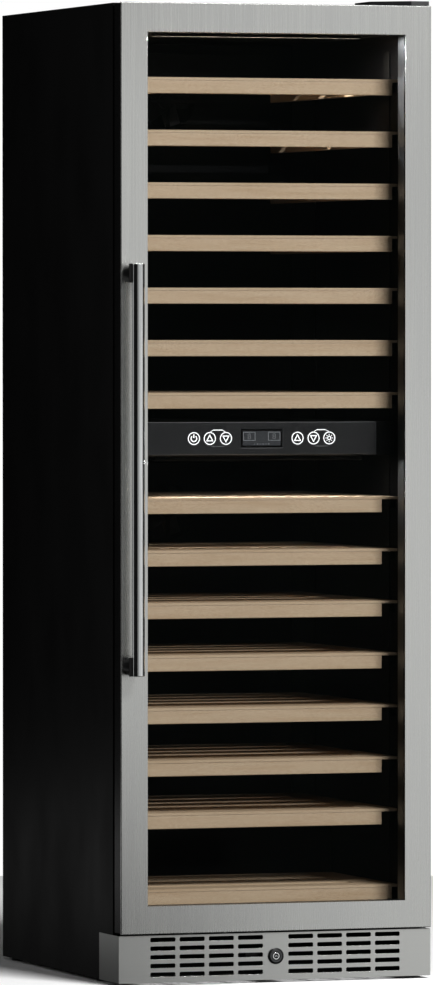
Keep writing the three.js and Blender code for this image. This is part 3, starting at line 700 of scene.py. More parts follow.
@dataclass(frozen=True)
class Stamp:
    """Draws thin printed shapes on an upright face that looks to the front.

    Its centre is in metres, and the shapes' sizes are millimetres from it, across and up.
    """

    centre: Vector
    thickness: float = 0.12
    sink: float = 0.01

    def _ring(self, shape: Shape, points: Sequence[Point], ahead: float) -> list[bmesh.types.BMVert]:
        """Returns new points at a distance in front of the face, in millimetres."""
        x, y, z = self.centre
        return [shape.verts.new((x + across * MM, y - ahead * MM, z + up * MM)) for across, up in points]

    def _solid(self, shape: Shape, outer: Sequence[Point], inner: Sequence[Point] = ()) -> None:
        """Adds a flat solid.

        Args:
            shape: the shape it is added to.
            outer: its outline.
            inner: the outline of its hole, with as many corners, where it has one.
        """
        loops = [self._ring(shape, outer, self.thickness), self._ring(shape, outer, self.sink)]
        if inner:
            loops = [self._ring(shape, inner, self.thickness), *loops, self._ring(shape, inner, self.sink)]
            loops.append(loops[0])
        else:
            shape.faces.new(loops[0])
            shape.faces.new(list(reversed(loops[1])))
        for first, second in zip(loops, loops[1:]):
            for i in range(len(first)):
                j = (i + 1) % len(first)
                shape.faces.new((first[i], second[i], second[j], first[j]))

    def circle(self, shape: Shape, radius: float, line: float) -> None:
        """Adds a ring.

        Args:
            shape: the shape it is added to.
            radius: its outer radius.
            line: how wide it is.
        """
        steps = 40
        turns = [2 * math.pi * i / steps for i in range(steps)]
        outer = [(radius * math.cos(t), radius * math.sin(t)) for t in turns]
        inner = [((radius - line) * math.cos(t), (radius - line) * math.sin(t)) for t in turns]
        self._solid(shape, outer, inner)

    def arc(self, shape: Shape, radius: float, line: float, start: float, end: float) -> None:
        """Adds part of a ring.

        Args:
            shape: the shape it is added to.
            radius: its outer radius.
            line: how wide it is.
            start: the angle where it starts, in degrees.
            end: the angle where it ends.
        """
        steps = 18
        turns = [math.radians(start + (end - start) * i / steps) for i in range(steps + 1)]
        outer = [(radius * math.cos(t), radius * math.sin(t)) for t in turns]
        inner = [((radius - line) * math.cos(t), (radius - line) * math.sin(t)) for t in reversed(turns)]
        self._solid(shape, outer + inner)

    def band(self, shape: Shape, outer: Sequence[Point], inner: Sequence[Point]) -> None:
        """Adds an outline with a hole of the same number of corners."""
        self._solid(shape, outer, inner)

    def bar(self, shape: Shape, x: float, z: float, wide: float, high: float, turn: float = 0) -> None:
        """Adds a filled bar.

        Args:
            shape: the shape it is added to.
            x: its middle, across.
            z: its middle, up.
            wide: its length.
            high: its height.
            turn: how far it is turned, in degrees.
        """
        c, s = math.cos(math.radians(turn)), math.sin(math.radians(turn))
        self._solid(shape, [(x + a * c - b * s, z + a * s + b * c) for a, b in rectangle(wide / 2, high / 2)])


def rectangle(half_x: float, half_z: float, x: float = 0, z: float = 0) -> list[Point]:
    """Returns the corners of a rectangle about a middle, from its half sizes."""
    left, right, bottom, top = x - half_x, x + half_x, z - half_z, z + half_z
    return [(left, bottom), (right, bottom), (right, top), (left, top)]


def finished(shape: Shape, name: str) -> bpy.types.Mesh:
    """Turns a drawn shape's faces outwards and makes it a mesh."""
    bmesh.ops.recalc_face_normals(shape, faces=shape.faces)
    return to_mesh(name, shape)


# ------------------------------------------------------------------ placing pieces


@dataclass(frozen=True)
class Piece:
    """A finished mesh that rides on a body, in place of the CAD nodes that it stands for.

    Where it has a second finish, `where` picks the faces that take it.
    """

    name: str
    body: str
    finish: Finish
    slot: str
    replaces: tuple[str, ...] = ()
    second: Finish | None = None
    where: Callable[[bpy.types.MeshPolygon], bool] | None = None

    def place(self, mesh: bpy.types.Mesh) -> None:
        """Puts the piece in the scene.

        Args:
            mesh: the finished mesh, with its place in its points.
        """
        shown = bpy.data.objects.new(self.name, mesh)
        bpy.context.scene.collection.objects.link(shown)
        mesh.materials.clear()
        mesh.materials.append(self.finish.material())
        if self.second and self.where:
            mesh.materials.append(self.second.material())
            for face in mesh.polygons:
                face.material_index = int(self.where(face))
        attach(shown, self.body)
        if self.replaces:
            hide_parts(*self.replaces)
        log.info("%s rides on %s, %d faces", self.name, self.body, len(mesh.polygons))


def dress(node: str, finish: Finish) -> None:
    """Gives a CAD node that is shown as it is its finish.

    Args:
        node: the node's name.
        finish: its finish.
    """
    shown = frame["nodes"][node]
    shown.data.materials.clear()
    shown.data.materials.append(finish.material())
    log.info("%s keeps its CAD shape, in %s", node, finish.name)


# ------------------------------------------------------------------ geometry nodes


class SlottedSheet:
    """Geometry Nodes tree for a flat sheet with rows of round-cornered slots, drawn in its own plane."""

    SIZES: tuple[tuple[str, str], ...] = (
        ("Width", "Float"),
        ("Height", "Float"),
        ("Thickness", "Float"),
        ("Slot Length", "Float"),
        ("Slot Height", "Float"),
        ("Slot Corner", "Float"),
        ("Columns", "Int"),
        ("Rows", "Int"),
        ("Column Pitch", "Float"),
        ("Row Pitch", "Float"),
        ("First Slot X", "Float"),
        ("First Slot Y", "Float"),
        ("Both Sides", "Bool"),
        ("Centre Hole", "Float"),
        ("Hole Y", "Float"),
        ("Material", "Material"),
    )

    def __init__(self) -> None:
        """Builds the tree."""
        self.group = bpy.data.node_groups.new("slotted_sheet", "GeometryNodeTree")
        self.group.interface.new_socket("Geometry", in_out="OUTPUT", socket_type="NodeSocketGeometry")
        for name, kind in self.SIZES:
            self.group.interface.new_socket(name, in_out="INPUT", socket_type=f"NodeSocket{kind}")
        items = self.group.interface.items_tree
        self.ids = {item.name: item.identifier for item in items if item.in_out == "INPUT"}
        self._wire()

    def _vector(self, *parts: Socket | float) -> Socket:
        """Returns a vector made of three numbers or sockets."""
        return add_node(self.group, "ShaderNodeCombineXYZ", dict(enumerate(parts))).outputs[0]

    def _wire(self) -> None:
        """Adds the nodes: a sheet's outline, a grid of slots and a hole, filled and given a thickness."""
        tree = self.group
        size = add_node(tree, "NodeGroupInput").outputs
        outline = "GeometryNodeCurvePrimitiveQuadrilateral"
        sheet = add_node(tree, outline, {"Width": size["Width"], "Height": size["Height"]})
        slot = add_node(tree, outline, {"Width": size["Slot Length"], "Height": size["Slot Height"]})
        rounded = add_node(
            tree,
            "GeometryNodeFilletCurve",
            {"Curve": slot.outputs[0], "Radius": size["Slot Corner"], "Count": 6},
            mode="POLY",
        )
        column = add_node(
            tree,
            "GeometryNodeMeshLine",
            {
                "Count": size["Columns"],
                "Start Location": self._vector(size["First Slot X"], size["First Slot Y"], 0.0),
                "Offset": self._vector(size["Column Pitch"], 0.0, 0.0),
            },
        )
        row_step = self._vector(0.0, size["Row Pitch"], 0.0)
        row = add_node(tree, "GeometryNodeMeshLine", {"Count": size["Rows"], "Offset": row_step})
        on_points = "GeometryNodeInstanceOnPoints"
        grid = add_node(tree, on_points, {"Points": column.outputs[0], "Instance": row.outputs[0]})
        places = add_node(tree, "GeometryNodeRealizeInstances", {0: grid.outputs[0]})
        turned = {"Geometry": places.outputs[0], "Scale": (-1.0, 1.0, 1.0)}
        mirrored = add_node(tree, "GeometryNodeTransform", turned)
        both = add_node(tree, "GeometryNodeJoinGeometry", {0: places.outputs[0]})
        tree.links.new(mirrored.outputs[0], both.inputs[0])
        chosen = add_node(
            tree,
            "GeometryNodeSwitch",
            {"Switch": size["Both Sides"], "False": places.outputs[0], "True": both.outputs[0]},
            input_type="GEOMETRY",
        )
        slots = add_node(tree, on_points, {"Points": chosen.outputs[0], "Instance": rounded.outputs[0]})
        hole = add_node(
            tree, "GeometryNodeCurvePrimitiveCircle", {"Resolution": 48, "Radius": size["Centre Hole"]}
        )
        moved = {"Geometry": hole.outputs[0], "Translation": self._vector(0.0, size["Hole Y"], 0.0)}
        placed = add_node(tree, "GeometryNodeTransform", moved)
        outlines = add_node(tree, "GeometryNodeJoinGeometry", {0: sheet.outputs[0]})
        tree.links.new(slots.outputs[0], outlines.inputs[0])
        tree.links.new(placed.outputs[0], outlines.inputs[0])
        drawn = add_node(tree, "GeometryNodeRealizeInstances", {0: outlines.outputs[0]})
        flat = add_node(tree, "GeometryNodeFillCurve", {0: drawn.outputs[0]}, mode="NGONS")
        raised = add_node(
            tree,
            "GeometryNodeExtrudeMesh",
            {
                "Mesh": flat.outputs[0],
                "Offset": self._vector(0.0, 0.0, size["Thickness"]),
                "Offset Scale": 1.0,
                "Individual": False,
            },
            mode="FACES",
        )
        under = add_node(tree, "GeometryNodeFlipFaces", {0: flat.outputs[0]})
        closed = add_node(tree, "GeometryNodeJoinGeometry", {0: raised.outputs[0]})
        tree.links.new(under.outputs[0], closed.inputs[0])
        joined = {"Geometry": closed.outputs[0], "Distance": 1e-6}
        whole = add_node(tree, "GeometryNodeMergeByDistance", joined)
        real = add_node(tree, "GeometryNodeRealizeInstances", {0: whole.outputs[0]})
        paint = {"Geometry": real.outputs[0], "Material": size["Material"]}
        painted = add_node(tree, "GeometryNodeSetMaterial", paint)
        add_node(tree, "NodeGroupOutput", {0: painted.outputs[0]})

    def shape(self, sizes: dict[str, Value], place: Matrix) -> Shape:
        """Evaluates the tree.

        Args:
            sizes: a value for each named input, lengths in metres.
            place: takes the sheet from its own plane to where it stands.

        Returns:
            The closed sheet.
        """
        holder = bpy.data.objects.new("holder", bpy.data.meshes.new("holder"))
        bpy.context.scene.collection.objects.link(holder)
        modifier = holder.modifiers.new("sheet", "NODES")
        modifier.node_group = self.group
        for name, value in sizes.items():
            modifier[self.ids[name]] = value
        evaluated = holder.evaluated_get(bpy.context.evaluated_depsgraph_get())
        mesh = bpy.data.meshes.new_from_object(evaluated)
        holder.modifiers.remove(modifier)
        bpy.data.objects.remove(holder)
        mesh.transform(place)
        shape = bmesh.new()
        shape.from_mesh(mesh)
        bpy.data.meshes.remove(mesh)
        bmesh.ops.recalc_face_normals(shape, faces=shape.faces)
        return shape


UPRIGHT = Matrix.Rotation(math.radians(90), 4, "X")  # stands a sheet up, with its thickness to the front
ROUND_END = 0.49  # a slot's corner as a share of its height, just short of a half circle


# ------------------------------------------------------------------ sub-assemblies


@dataclass
class Cabinet:
    """Outer shell, rear sheet, foam, base and feet, in millimetres."""

    edge: float = 0.6
    foot_edge: float = 0.9
    sheet_edge: float = 0.35
    louvre_length: float = 190.0
    louvre_height: float = 7.0
    louvre_rows: int = 9
    louvre_pitch: float = 18.0
    louvre_first: float = 40.0
    hanger_hole: float = 4.0
    hanger_drop: float = 30.0

    def build(self, sheets: SlottedSheet) -> None:
        """Builds and dresses the cabinet's pieces.

        Args:
            sheets: the tree that makes slotted sheets.
        """
        shell = softened("cabinet_shell", self.edge)
        Piece("cabinet_casing", "cabinet", CABINET_PAINT, "black_paint", ("cabinet_shell",)).place(
            to_mesh("cabinet_casing", shell)
        )
        self._rear(sheets)
        dress("insulation_foam", FOAM)
        dress("base_frame", RACK_PAINT)
        for end in ("front", "rear"):
            for side in ("left", "right"):
                node = f"foot_{end}_{side}"
                Piece(f"levelling_{node}", node, FOOT_RUBBER, "foot_rubber", (node,)).place(
                    to_mesh(node, softened(node, self.foot_edge))
                )

    def _rear(self, sheets: SlottedSheet) -> None:
        """Builds the louvred rear sheet.

        Args:
            sheets: the tree that makes slotted sheets.
        """
        low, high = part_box("rear_panel")
        height = high.z - low.z
        sizes: dict[str, Value] = {
            "Width": high.x - low.x,
            "Height": height,
            "Thickness": high.y - low.y,
            "Slot Length": self.louvre_length * MM,
            "Slot Height": self.louvre_height * MM,
            "Slot Corner": self.louvre_height * ROUND_END * MM,
            "Columns": 1,
            "Rows": self.louvre_rows,
            "Column Pitch": 0.0,
            "Row Pitch": self.louvre_pitch * MM,
            "First Slot X": (self.louvre_length / 2 + self.louvre_pitch) * MM,
            "First Slot Y": (self.louvre_first + self.louvre_height / 2) * MM - low.z - height / 2,
            "Both Sides": True,
            "Centre Hole": self.hanger_hole * MM,
            "Hole Y": height / 2 - self.hanger_drop * MM,
            "Material": CABINET_PAINT.material(),
        }
        place = Matrix.Translation((0, high.y, (low.z + high.z) / 2)) @ UPRIGHT
        sheet = sheets.shape(sizes, place)
        round_edges(sheet, self.sheet_edge)
        Piece("rear_sheet", "cabinet", CABINET_PAINT, "black_paint", ("rear_panel",)).place(
            to_mesh("rear_sheet", sheet)
        )


@dataclass
class Kickplate:
    """Vented steel plate under the door, with its folded ends, in millimetres.

    The lock sits in its middle hole. fold_start and flange_start are shares of the sheet's thickness.
    """

    sheet: float = 1.5
    edge: float = 0.4
    slot_length: float = 47.8
    slot_height: float = 8.1
    slot_corner: float = 2.4
    columns: int = 4
    rows: int = 5
    bridge_across: float = 8.0
    bridge_up: float = 7.6
    from_centre: float = 24.4
    top_margin: float = 3.9
    lock_hole: float = 10.3
    flange: float = 5.0
    fold_edge: float = 0.35
    fold_start: float = 0.6
    flange_start: float = 0.8

    def build(self, sheets: SlottedSheet) -> None:
        """Builds the plate.

        Args:
            sheets: the tree that makes slotted sheets.
        """
        low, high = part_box("kickplate")
        lock_low, lock_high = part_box("lock_housing")
        height = high.z - low.z
        pitch = self.slot_height + self.bridge_up
        highest = high.z - (self.top_margin + self.slot_height / 2) * MM
        sizes: dict[str, Value] = {
            "Width": high.x - low.x,
            "Height": height,
            "Thickness": self.sheet * MM,
            "Slot Length": self.slot_length * MM,
            "Slot Height": self.slot_height * MM,
            "Slot Corner": self.slot_corner * MM,
            "Columns": self.columns,
            "Rows": self.rows,
            "Column Pitch": (self.slot_length + self.bridge_across) * MM,
            "Row Pitch": -pitch * MM,
            "First Slot X": (self.from_centre + self.slot_length / 2) * MM,
            "First Slot Y": highest - (low.z + high.z) / 2,
            "Both Sides": True,
            "Centre Hole": self.lock_hole * MM,
            "Hole Y": (lock_low.z + lock_high.z) / 2 - (low.z + high.z) / 2,
            "Material": KICK_STEEL.material(),
        }
        place = Matrix.Translation((0, low.y + self.sheet * MM, (low.z + high.z) / 2)) @ UPRIGHT
        plate = sheets.shape(sizes, place)
        round_edges(plate, self.edge)
        self._folds(plate, low, high)
        Piece("vented_kickplate", "cabinet", KICK_STEEL, "brushed_stainless", ("kickplate",)).place(
            to_mesh("vented_kickplate", plate)
        )

    def _folds(self, plate: Shape, low: Vector, high: Vector) -> None:
        """Adds the folded ends and the two flanges.

        Args:
            plate: the plate that they are added to.
            low: the kickplate's lowest corner, in metres.
            high: its highest corner.
        """
        thick = self.sheet * MM
        front = low.y + thick * self.fold_start
        for x in (low.x, high.x - thick):
            rounded_box(
                plate, Vector((x, front, low.z)), Vector((x + thick, high.y, high.z)), self.fold_edge
            )
        back = low.y + thick + self.flange * MM
        inset = thick * self.flange_start
        for z in (low.z, high.z - thick):
            inner = Vector((low.x + inset, front, z))
            rounded_box(plate, inner, Vector((high.x - inset, back, z + thick)), self.fold_edge)


@dataclass
class Lock:
    """Key lock in the kickplate: a black rim, a grey ring and a chromed barrel, in millimetres."""

    rim: float = 14.8
    rim_back: float = 3.2
    rim_front: float = 1.6
    ring: float = 11.4
    ring_width: float = 3.2
    floor: float = 1.8
    body: float = 9.9
    bore: float = 6.9
    well: float = 4.6
    keyway: float = 2.0
    chrome_depth: float = 6.0
    edge: float = 0.35

    def build(self) -> None:
        """Builds the housing and the barrel."""
        low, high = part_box("lock_housing")
        centre = Vector(((low.x + high.x) / 2, low.y, (low.z + high.z) / 2))
        long = (high.y - low.y) / MM
        inside = self.ring - self.ring_width
        section = [
            (self.bore, -long), (self.body, -long), (self.body, -self.rim_back), (self.rim, -self.rim_back),
            (self.rim, -self.rim_front), (self.rim - 0.5, -0.9), (self.ring + 0.3, -0.4), (self.ring, 0),
            (inside, 0), (inside - 0.4, -0.6), (inside - 0.4, -self.floor), (self.bore, -self.floor),
        ]
        inner, outer = (inside - 0.1) * MM, (self.ring + 0.1) * MM
        Piece(
            "lock_bezel", "cabinet", BEZEL_PLASTIC, "liner_plastic", ("lock_housing",), KEY_PLASTIC,
            lambda face: face.normal.y < -0.95 and inner < (face.center - centre).length < outer,
        ).place(finished(lathed(section, centre), "lock_bezel"))
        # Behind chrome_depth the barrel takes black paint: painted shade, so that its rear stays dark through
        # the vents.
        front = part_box("lock_barrel")[0].y
        behind = front + self.chrome_depth * MM
        Piece(
            "lock_core", "lock", CHROME, "lock_chrome", ("lock_barrel",), RACK_PAINT,
            lambda face: face.center.y > behind,
        ).place(to_mesh("lock_core", softened("lock_barrel", self.edge)))
        shutter = bmesh.new()
        Stamp(Vector((centre.x, front, centre.z))).circle(shutter, self.well, self.well - self.keyway)
        Piece("lock_shutter", "lock", BEZEL_PLASTIC, "lock_chrome").place(finished(shutter, "lock_shutter"))


@dataclass
class Shelves:
    """Beech shelves: a slotted board with a rounded nose, and a deep fascia and two ribs below it.

    Sizes are in millimetres. The boards of the lower zone reach past their fascias by more, except the last
    one, over the compressor.
    """

    board: float = 5.0
    nose: float = 1.3
    fascia_depth: float = 18.0
    fascia_setback: float = 0.6
    fascia_edge: float = 1.1
    upper_inset: float = 10.0
    lower_inset: float = 30.0
    lower_count: int = 7
    upper_count: int = 7
    slot_width: float = 34.0
    slot_corner: float = 6.0
    slot_count: int = 4
    margin: float = 60.0
    rib_inset: float = 60.0
    rib_width: float = 14.0
    rib_edge: float = 1.0
    screw_hole: float = 3.0
    screw_inset: float = 20.0

    def build(self, sheets: SlottedSheet) -> None:
        """Builds every shelf in the cabinet.

        Args:
            sheets: the tree that makes slotted sheets.
        """
        nodes = sorted(n for n in frame["nodes"] if n.startswith("shelf_"))
        for number, node in enumerate(nodes, start=1):
            full_lower = self.upper_count < number <= self.upper_count + self.lower_count
            inset = self.lower_inset if full_lower else self.upper_inset
            Piece(f"beech_{node}", "cabinet", BEECH, "beech", (node,)).place(
                to_mesh(f"beech_{node}", self._shelf(sheets, node, inset))
            )

    def _shelf(self, sheets: SlottedSheet, node: str, inset: float) -> Shape:
        """Builds one shelf.

        Args:
            sheets: the tree that makes slotted sheets.
            node: the shelf's CAD node.
            inset: how far the board reaches past the fascia at each end, in millimetres.

        Returns:
            The shelf's shape.
        """
        low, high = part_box(node)
        deep = (high.y - low.y) / MM
        pitch = (deep - 2 * self.margin + self.slot_width) / self.slot_count
        wide = high.x - low.x
        sizes: dict[str, Value] = {
            "Width": wide,
            "Height": high.y - low.y,
            "Thickness": self.board * MM,
            "Slot Length": wide - 2 * self.margin * MM,
            "Slot Height": self.slot_width * MM,
            "Slot Corner": self.slot_corner * MM,
            "Columns": 1,
            "Rows": self.slot_count,
            "Column Pitch": 0.0,
            "Row Pitch": pitch * MM,
            "First Slot X": 0.0,
            "First Slot Y": (self.margin + self.slot_width / 2 - deep / 2) * MM,
            "Both Sides": False,
            "Centre Hole": self.screw_hole * MM,
            "Hole Y": (deep / 2 - self.screw_inset) * MM,
            "Material": BEECH.material(),
        }
        underside = high.z - self.board * MM
        board = sheets.shape(sizes, Matrix.Translation((0, (low.y + high.y) / 2, underside)))
        round_edges(board, self.nose, 3)
        front, back = low.y + self.fascia_setback * MM, low.y + self.fascia_depth * MM
        rounded_box(
            board,
            Vector((low.x + inset * MM, front, low.z)),
            Vector((high.x - inset * MM, back, underside)),
            self.fascia_edge,
        )
        for side in (-1, 1):
            inner = side * (wide / 2 - self.rib_inset * MM)
            outer = inner + side * self.rib_width * MM
            rounded_box(
                board,
                Vector((min(inner, outer), back, low.z)),
                Vector((max(inner, outer), high.y, underside)),
                self.rib_edge,
            )
        return board


@dataclass
class ControlPanel:
    """Panel between the zones, with its display and six round keys, in millimetres.

    Each pair of numbers is half a size, or a whole one for the figure, across and up.
    """

    edge: float = 1.6
    ring_line: float = 1.7
    ring_margin: float = 0.1
    dish: float = 0.25
    pairs: tuple[tuple[int, int], ...] = ((1, 2), (4, 5))
    lens_edge: float = 0.5
    bezel: float = 3.4
    square: Point = (11.6, 7.8)
    square_line: float = 0.8
    square_place: Point = (24.0, 3.6)
    figure: Point = (4.8, 9.0)
    figure_line: float = 0.7

    def build(self) -> None:
        """Builds the panel, the display, the keys and their printing."""
        # The rounded faces between the panel's face and its sides take the lighter grey, a painted highlight.
        Piece(
            "control_fascia", "cabinet", PANEL_PLASTIC, "panel_plastic", ("control_panel",), PANEL_EDGE_HIGHLIGHT,
            lambda face: -0.96 < face.normal.y < -0.1,
        ).place(to_mesh("control_fascia", softened("control_panel", self.edge, 3)))
        self._display()
        keys = (n for n in frame["nodes"] if n.startswith("key_"))
        nodes = sorted(keys, key=lambda n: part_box(n)[0].x)
        signs: list[Callable[[Stamp, Shape], None]] = [
            self._power, self._up, self._down, self._up, self._down, self._light,
        ]
        for node, sign in zip(nodes, signs):
            self._key(node, sign)
        self._links(nodes)

    def _key(self, node: str, sign: Callable[[Stamp, Shape], None]) -> None:
        """Builds one key and its printed sign.

        Args:
            node: the key's CAD node, whose name is its body's too.
            sign: draws the sign inside the ring.
        """
        low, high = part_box(node)
        radius = (high.x - low.x) / 2 / MM
        long = (high.y - low.y) / MM
        centre = Vector(((low.x + high.x) / 2, low.y, (low.z + high.z) / 2))
        profile = [
            (0, -long), (radius - 0.4, -long), (radius, -long + 0.4), (radius, -0.7), (radius - 0.2, -0.2),
            (radius - 0.7, 0), (radius - 2.2, 0), (radius - 4.5, -self.dish), (0, -self.dish),
        ]
        Piece(f"round_{node}", node, KEY_PLASTIC, "key_plastic", (node,)).place(
            finished(lathed(profile, centre), f"round_{node}")
        )
        ink = bmesh.new()
        Stamp(centre).circle(ink, radius - self.ring_margin, self.ring_line)
        sign(Stamp(centre + Vector((0, self.dish * MM, 0))), ink)
        Piece(f"{node}_print", node, WHITE_INK, "key_plastic").place(finished(ink, f"{node}_print"))

    def _power(self, stamp: Stamp, shape: Shape) -> None:
        """Draws an open ring with a bar in its gap."""
        stamp.arc(shape, 6.4, 2.0, 130, 410)
        stamp.bar(shape, 0, 4.4, 2.0, 6.4)

    def _up(self, stamp: Stamp, shape: Shape) -> None:
        """Draws a triangle that points up."""
        stamp.band(shape, [(-7.3, -5.2), (7.3, -5.2), (0, 7.8)], [(-4.2, -3.4), (4.2, -3.4), (0, 4.1)])

    def _down(self, stamp: Stamp, shape: Shape) -> None:
        """Draws a triangle that points down."""
        stamp.band(shape, [(-7.3, 5.2), (0, -7.8), (7.3, 5.2)], [(-4.2, 3.4), (0, -4.1), (4.2, 3.4)])

    def _light(self, stamp: Stamp, shape: Shape) -> None:
        """Draws a lamp: a small ring with rays round it.

        Args:
            stamp: draws on the key.
            shape: the shape that it is added to.
        """
        stamp.circle(shape, 3.9, 1.6)
        for turn in range(0, 360, 45):
            angle, reach = math.radians(turn), 6.2
            stamp.bar(shape, reach * math.cos(angle), reach * math.sin(angle), 2.4, 1.3, turn)

    def _links(self, nodes: Sequence[str]) -> None:
        """Prints the lines that pair the keys of each zone: a white bracket over them, a faint bar under.

        Args:
            nodes: the keys' CAD nodes, from left to right.
        """
        centres = [(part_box(n)[0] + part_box(n)[1]) / 2 for n in nodes]
        stamp = Stamp(Vector((0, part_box("control_panel")[0].y, centres[0].z)))
        white, faint = bmesh.new(), bmesh.new()
        for first, second in self.pairs:
            x = (centres[first].x + centres[second].x) / 2 / MM
            apart = (centres[second].x - centres[first].x) / MM
            half = (centres[second].x - centres[first].x) / 2 / MM
            stamp.bar(white, x, 15.2, half, 1.5)
            for side in (-1, 1):
                stamp.bar(white, x + side * half * 0.7, 13.9, half * 0.5, 1.1, -side * 28)
            stamp.bar(faint, x, -14.6, apart * 0.8, 0.8)
        Piece("panel_print", "cabinet", WHITE_INK, "panel_plastic").place(finished(white, "panel_print"))
        Piece("panel_faint_print", "cabinet", FAINT_INK, "panel_plastic").place(
            finished(faint, "panel_faint_print")
        )

    def _display(self) -> None:
        """Builds the display window: its lens, its frame, two unlit figures and a row of small marks."""
        low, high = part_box("display_window")
        Piece("display_lens", "cabinet", DISPLAY_PLASTIC, "display_plastic", ("display_window",)).place(
            to_mesh("display_lens", softened("display_window", self.lens_edge))
        )
        stamp = Stamp(Vector(((low.x + high.x) / 2, low.y, (low.z + high.z) / 2)))
        wide, tall = (high.x - low.x) / 2 / MM, (high.z - low.z) / 2 / MM
        bezel = bmesh.new()
        stamp.band(bezel, rectangle(wide, tall), rectangle(wide - self.bezel, tall - self.bezel))
        Piece("display_bezel", "cabinet", BEZEL_PLASTIC, "display_plastic").place(
            finished(bezel, "display_bezel")
        )
        marks = bmesh.new()
        across, up = self.square
        for side in (-1, 1):
            x, z = side * self.square_place[0], self.square_place[1]
            inner = rectangle(across - self.square_line, up - self.square_line, x, z)
            stamp.band(marks, rectangle(across, up, x, z), inner)
            self._figure(stamp, marks, x, z)
        for i in range(6):
            stamp.bar(marks, -14 + 5.6 * i, -10.5, 2.2 if i % 2 else 1.2, 1.6)
        Piece("display_print", "cabinet", DIM_INK, "display_plastic").place(finished(marks, "display_print"))

    def _figure(self, stamp: Stamp, shape: Shape, x: float, z: float) -> None:
        """Draws the seven segments of one unlit figure.

        Args:
            stamp: draws on the display.
            shape: the shape that they are added to.
            x: the figure's middle, across.
            z: its middle, up.
        """
        (wide, high), line = self.figure, self.figure_line
        for level in (-1, 0, 1):
            stamp.bar(shape, x, z + level * high / 2, wide - 1.6, line)
        for across in (-1, 1):
            for level in (-1, 1):
                stamp.bar(shape, x + across * wide / 2, z + level * high / 4, line, high / 2 - 1.4)


@dataclass
class Door:
    """Steel border, plastic frame, double glazing, gasket and handle, in millimetres."""

    border: float = 50.8
    top_extra: float = 2.6
    sheet: float = 1.2
    rim: float = 4.0
    bevel: float = 0.5
    corner: float = 1.6
    frame_edge: float = 0.5
    gasket_width: float = 26.5
    tube_edge: float = 1.6
    post_edge: float = 0.8

    def build(self) -> None:
        """Builds the door's pieces."""
        self._skin()
        low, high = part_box("door_skin")
        reach = (high.x - low.x) / 2 - self.border * MM
        Piece(
            "door_core", "door", FRAME_PLASTIC, "liner_plastic", ("door_frame",), SPACER,
            lambda face: abs(face.normal.x) > 0.95 and abs(abs(face.center.x) - reach) < 0.002,
        ).place(to_mesh("door_core", softened("door_frame", self.frame_edge)))
        dress("glass_outer", GLASS)
        dress("glass_inner", GLASS)
        self._gasket()
        self._handle()

    def _skin(self) -> None:
        """Builds the steel border, with a rolled outer edge and a bevel round the window."""
        low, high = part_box("door_skin")
        r = self.corner
        turns = [math.radians(angle) for angle in (90, 67.5, 45, 22.5, 0)]
        rolled = [(r - r * math.sin(turn), r - r * math.cos(turn)) for turn in turns]
        section = [
            (0, self.rim), *rolled, (self.border - self.bevel, 0), (self.border, self.sheet - 0.2),
            (self.border, self.sheet), (self.border - self.bevel, self.sheet), (r, self.sheet),
            (self.sheet, self.sheet + 0.4), (self.sheet, self.rim),
        ]
        ring = Border(low.x, high.x, low.z, high.z, low.y, self.top_extra).loft(section)
        Piece("door_border", "door", DOOR_STEEL, "brushed_stainless", ("door_skin",)).place(
            to_mesh("door_border", ring, 12)
        )

    def _gasket(self) -> None:
        """Builds the hollow magnetic gasket, with its bellows and its lip."""
        low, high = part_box("door_gasket")
        thick = (high.y - low.y) / MM
        wide = self.gasket_width
        section = [
            (0.6, 0), (0, 0.8), (1.2, thick * 0.45), (0.2, thick * 0.7), (0.8, thick - 0.3), (2.0, thick),
            (wide * 0.4, thick), (wide * 0.45, thick - 0.9), (wide * 0.5, thick - 0.9), (wide * 0.55, thick),
            (wide - 5, thick), (wide - 3.6, thick - 0.6), (wide - 3.0, thick * 0.5),
            (wide - 1.2, thick * 0.35), (wide, 0.8), (wide - 0.6, 0),
        ]
        ring = Border(low.x, high.x, low.z, high.z, low.y).loft(section)
        Piece("magnetic_gasket", "door", SEAL_RUBBER, "seal_rubber", ("door_gasket",)).place(
            to_mesh("magnetic_gasket", ring)
        )

    def _handle(self) -> None:
        """Builds the tubular handle and its two posts."""
        low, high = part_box("handle_bar")
        centre = (low + high) / 2
        radius = (high.x - low.x) / 2 / MM
        half = (high.z - low.z) / 2 / MM
        cap = radius - self.tube_edge
        profile = [
            (0, -half), (cap, -half), (radius - 0.6, -half + 0.3), (radius, -half + 1.2),
            (radius, half - 1.2), (radius - 0.6, half - 0.3), (cap, half), (0, half),
        ]
        bar = lathed(profile, Vector((0, 0, 0)), 64)
        upright = Matrix.Translation(centre) @ Matrix.Rotation(math.radians(-90), 4, "X")
        bmesh.ops.transform(bar, matrix=upright, verts=bar.verts)
        Piece("tube_handle", "door", TUBE_STEEL, "brushed_stainless", ("handle_bar",)).place(
            finished(bar, "tube_handle")
        )
        for end in ("upper", "lower"):
            node = f"handle_post_{end}"
            Piece(f"round_{node}", "door", POST_PAINT, "black_satin_metal", (node,)).place(
                to_mesh(node, softened(node, self.post_edge, 3), 40)
            )


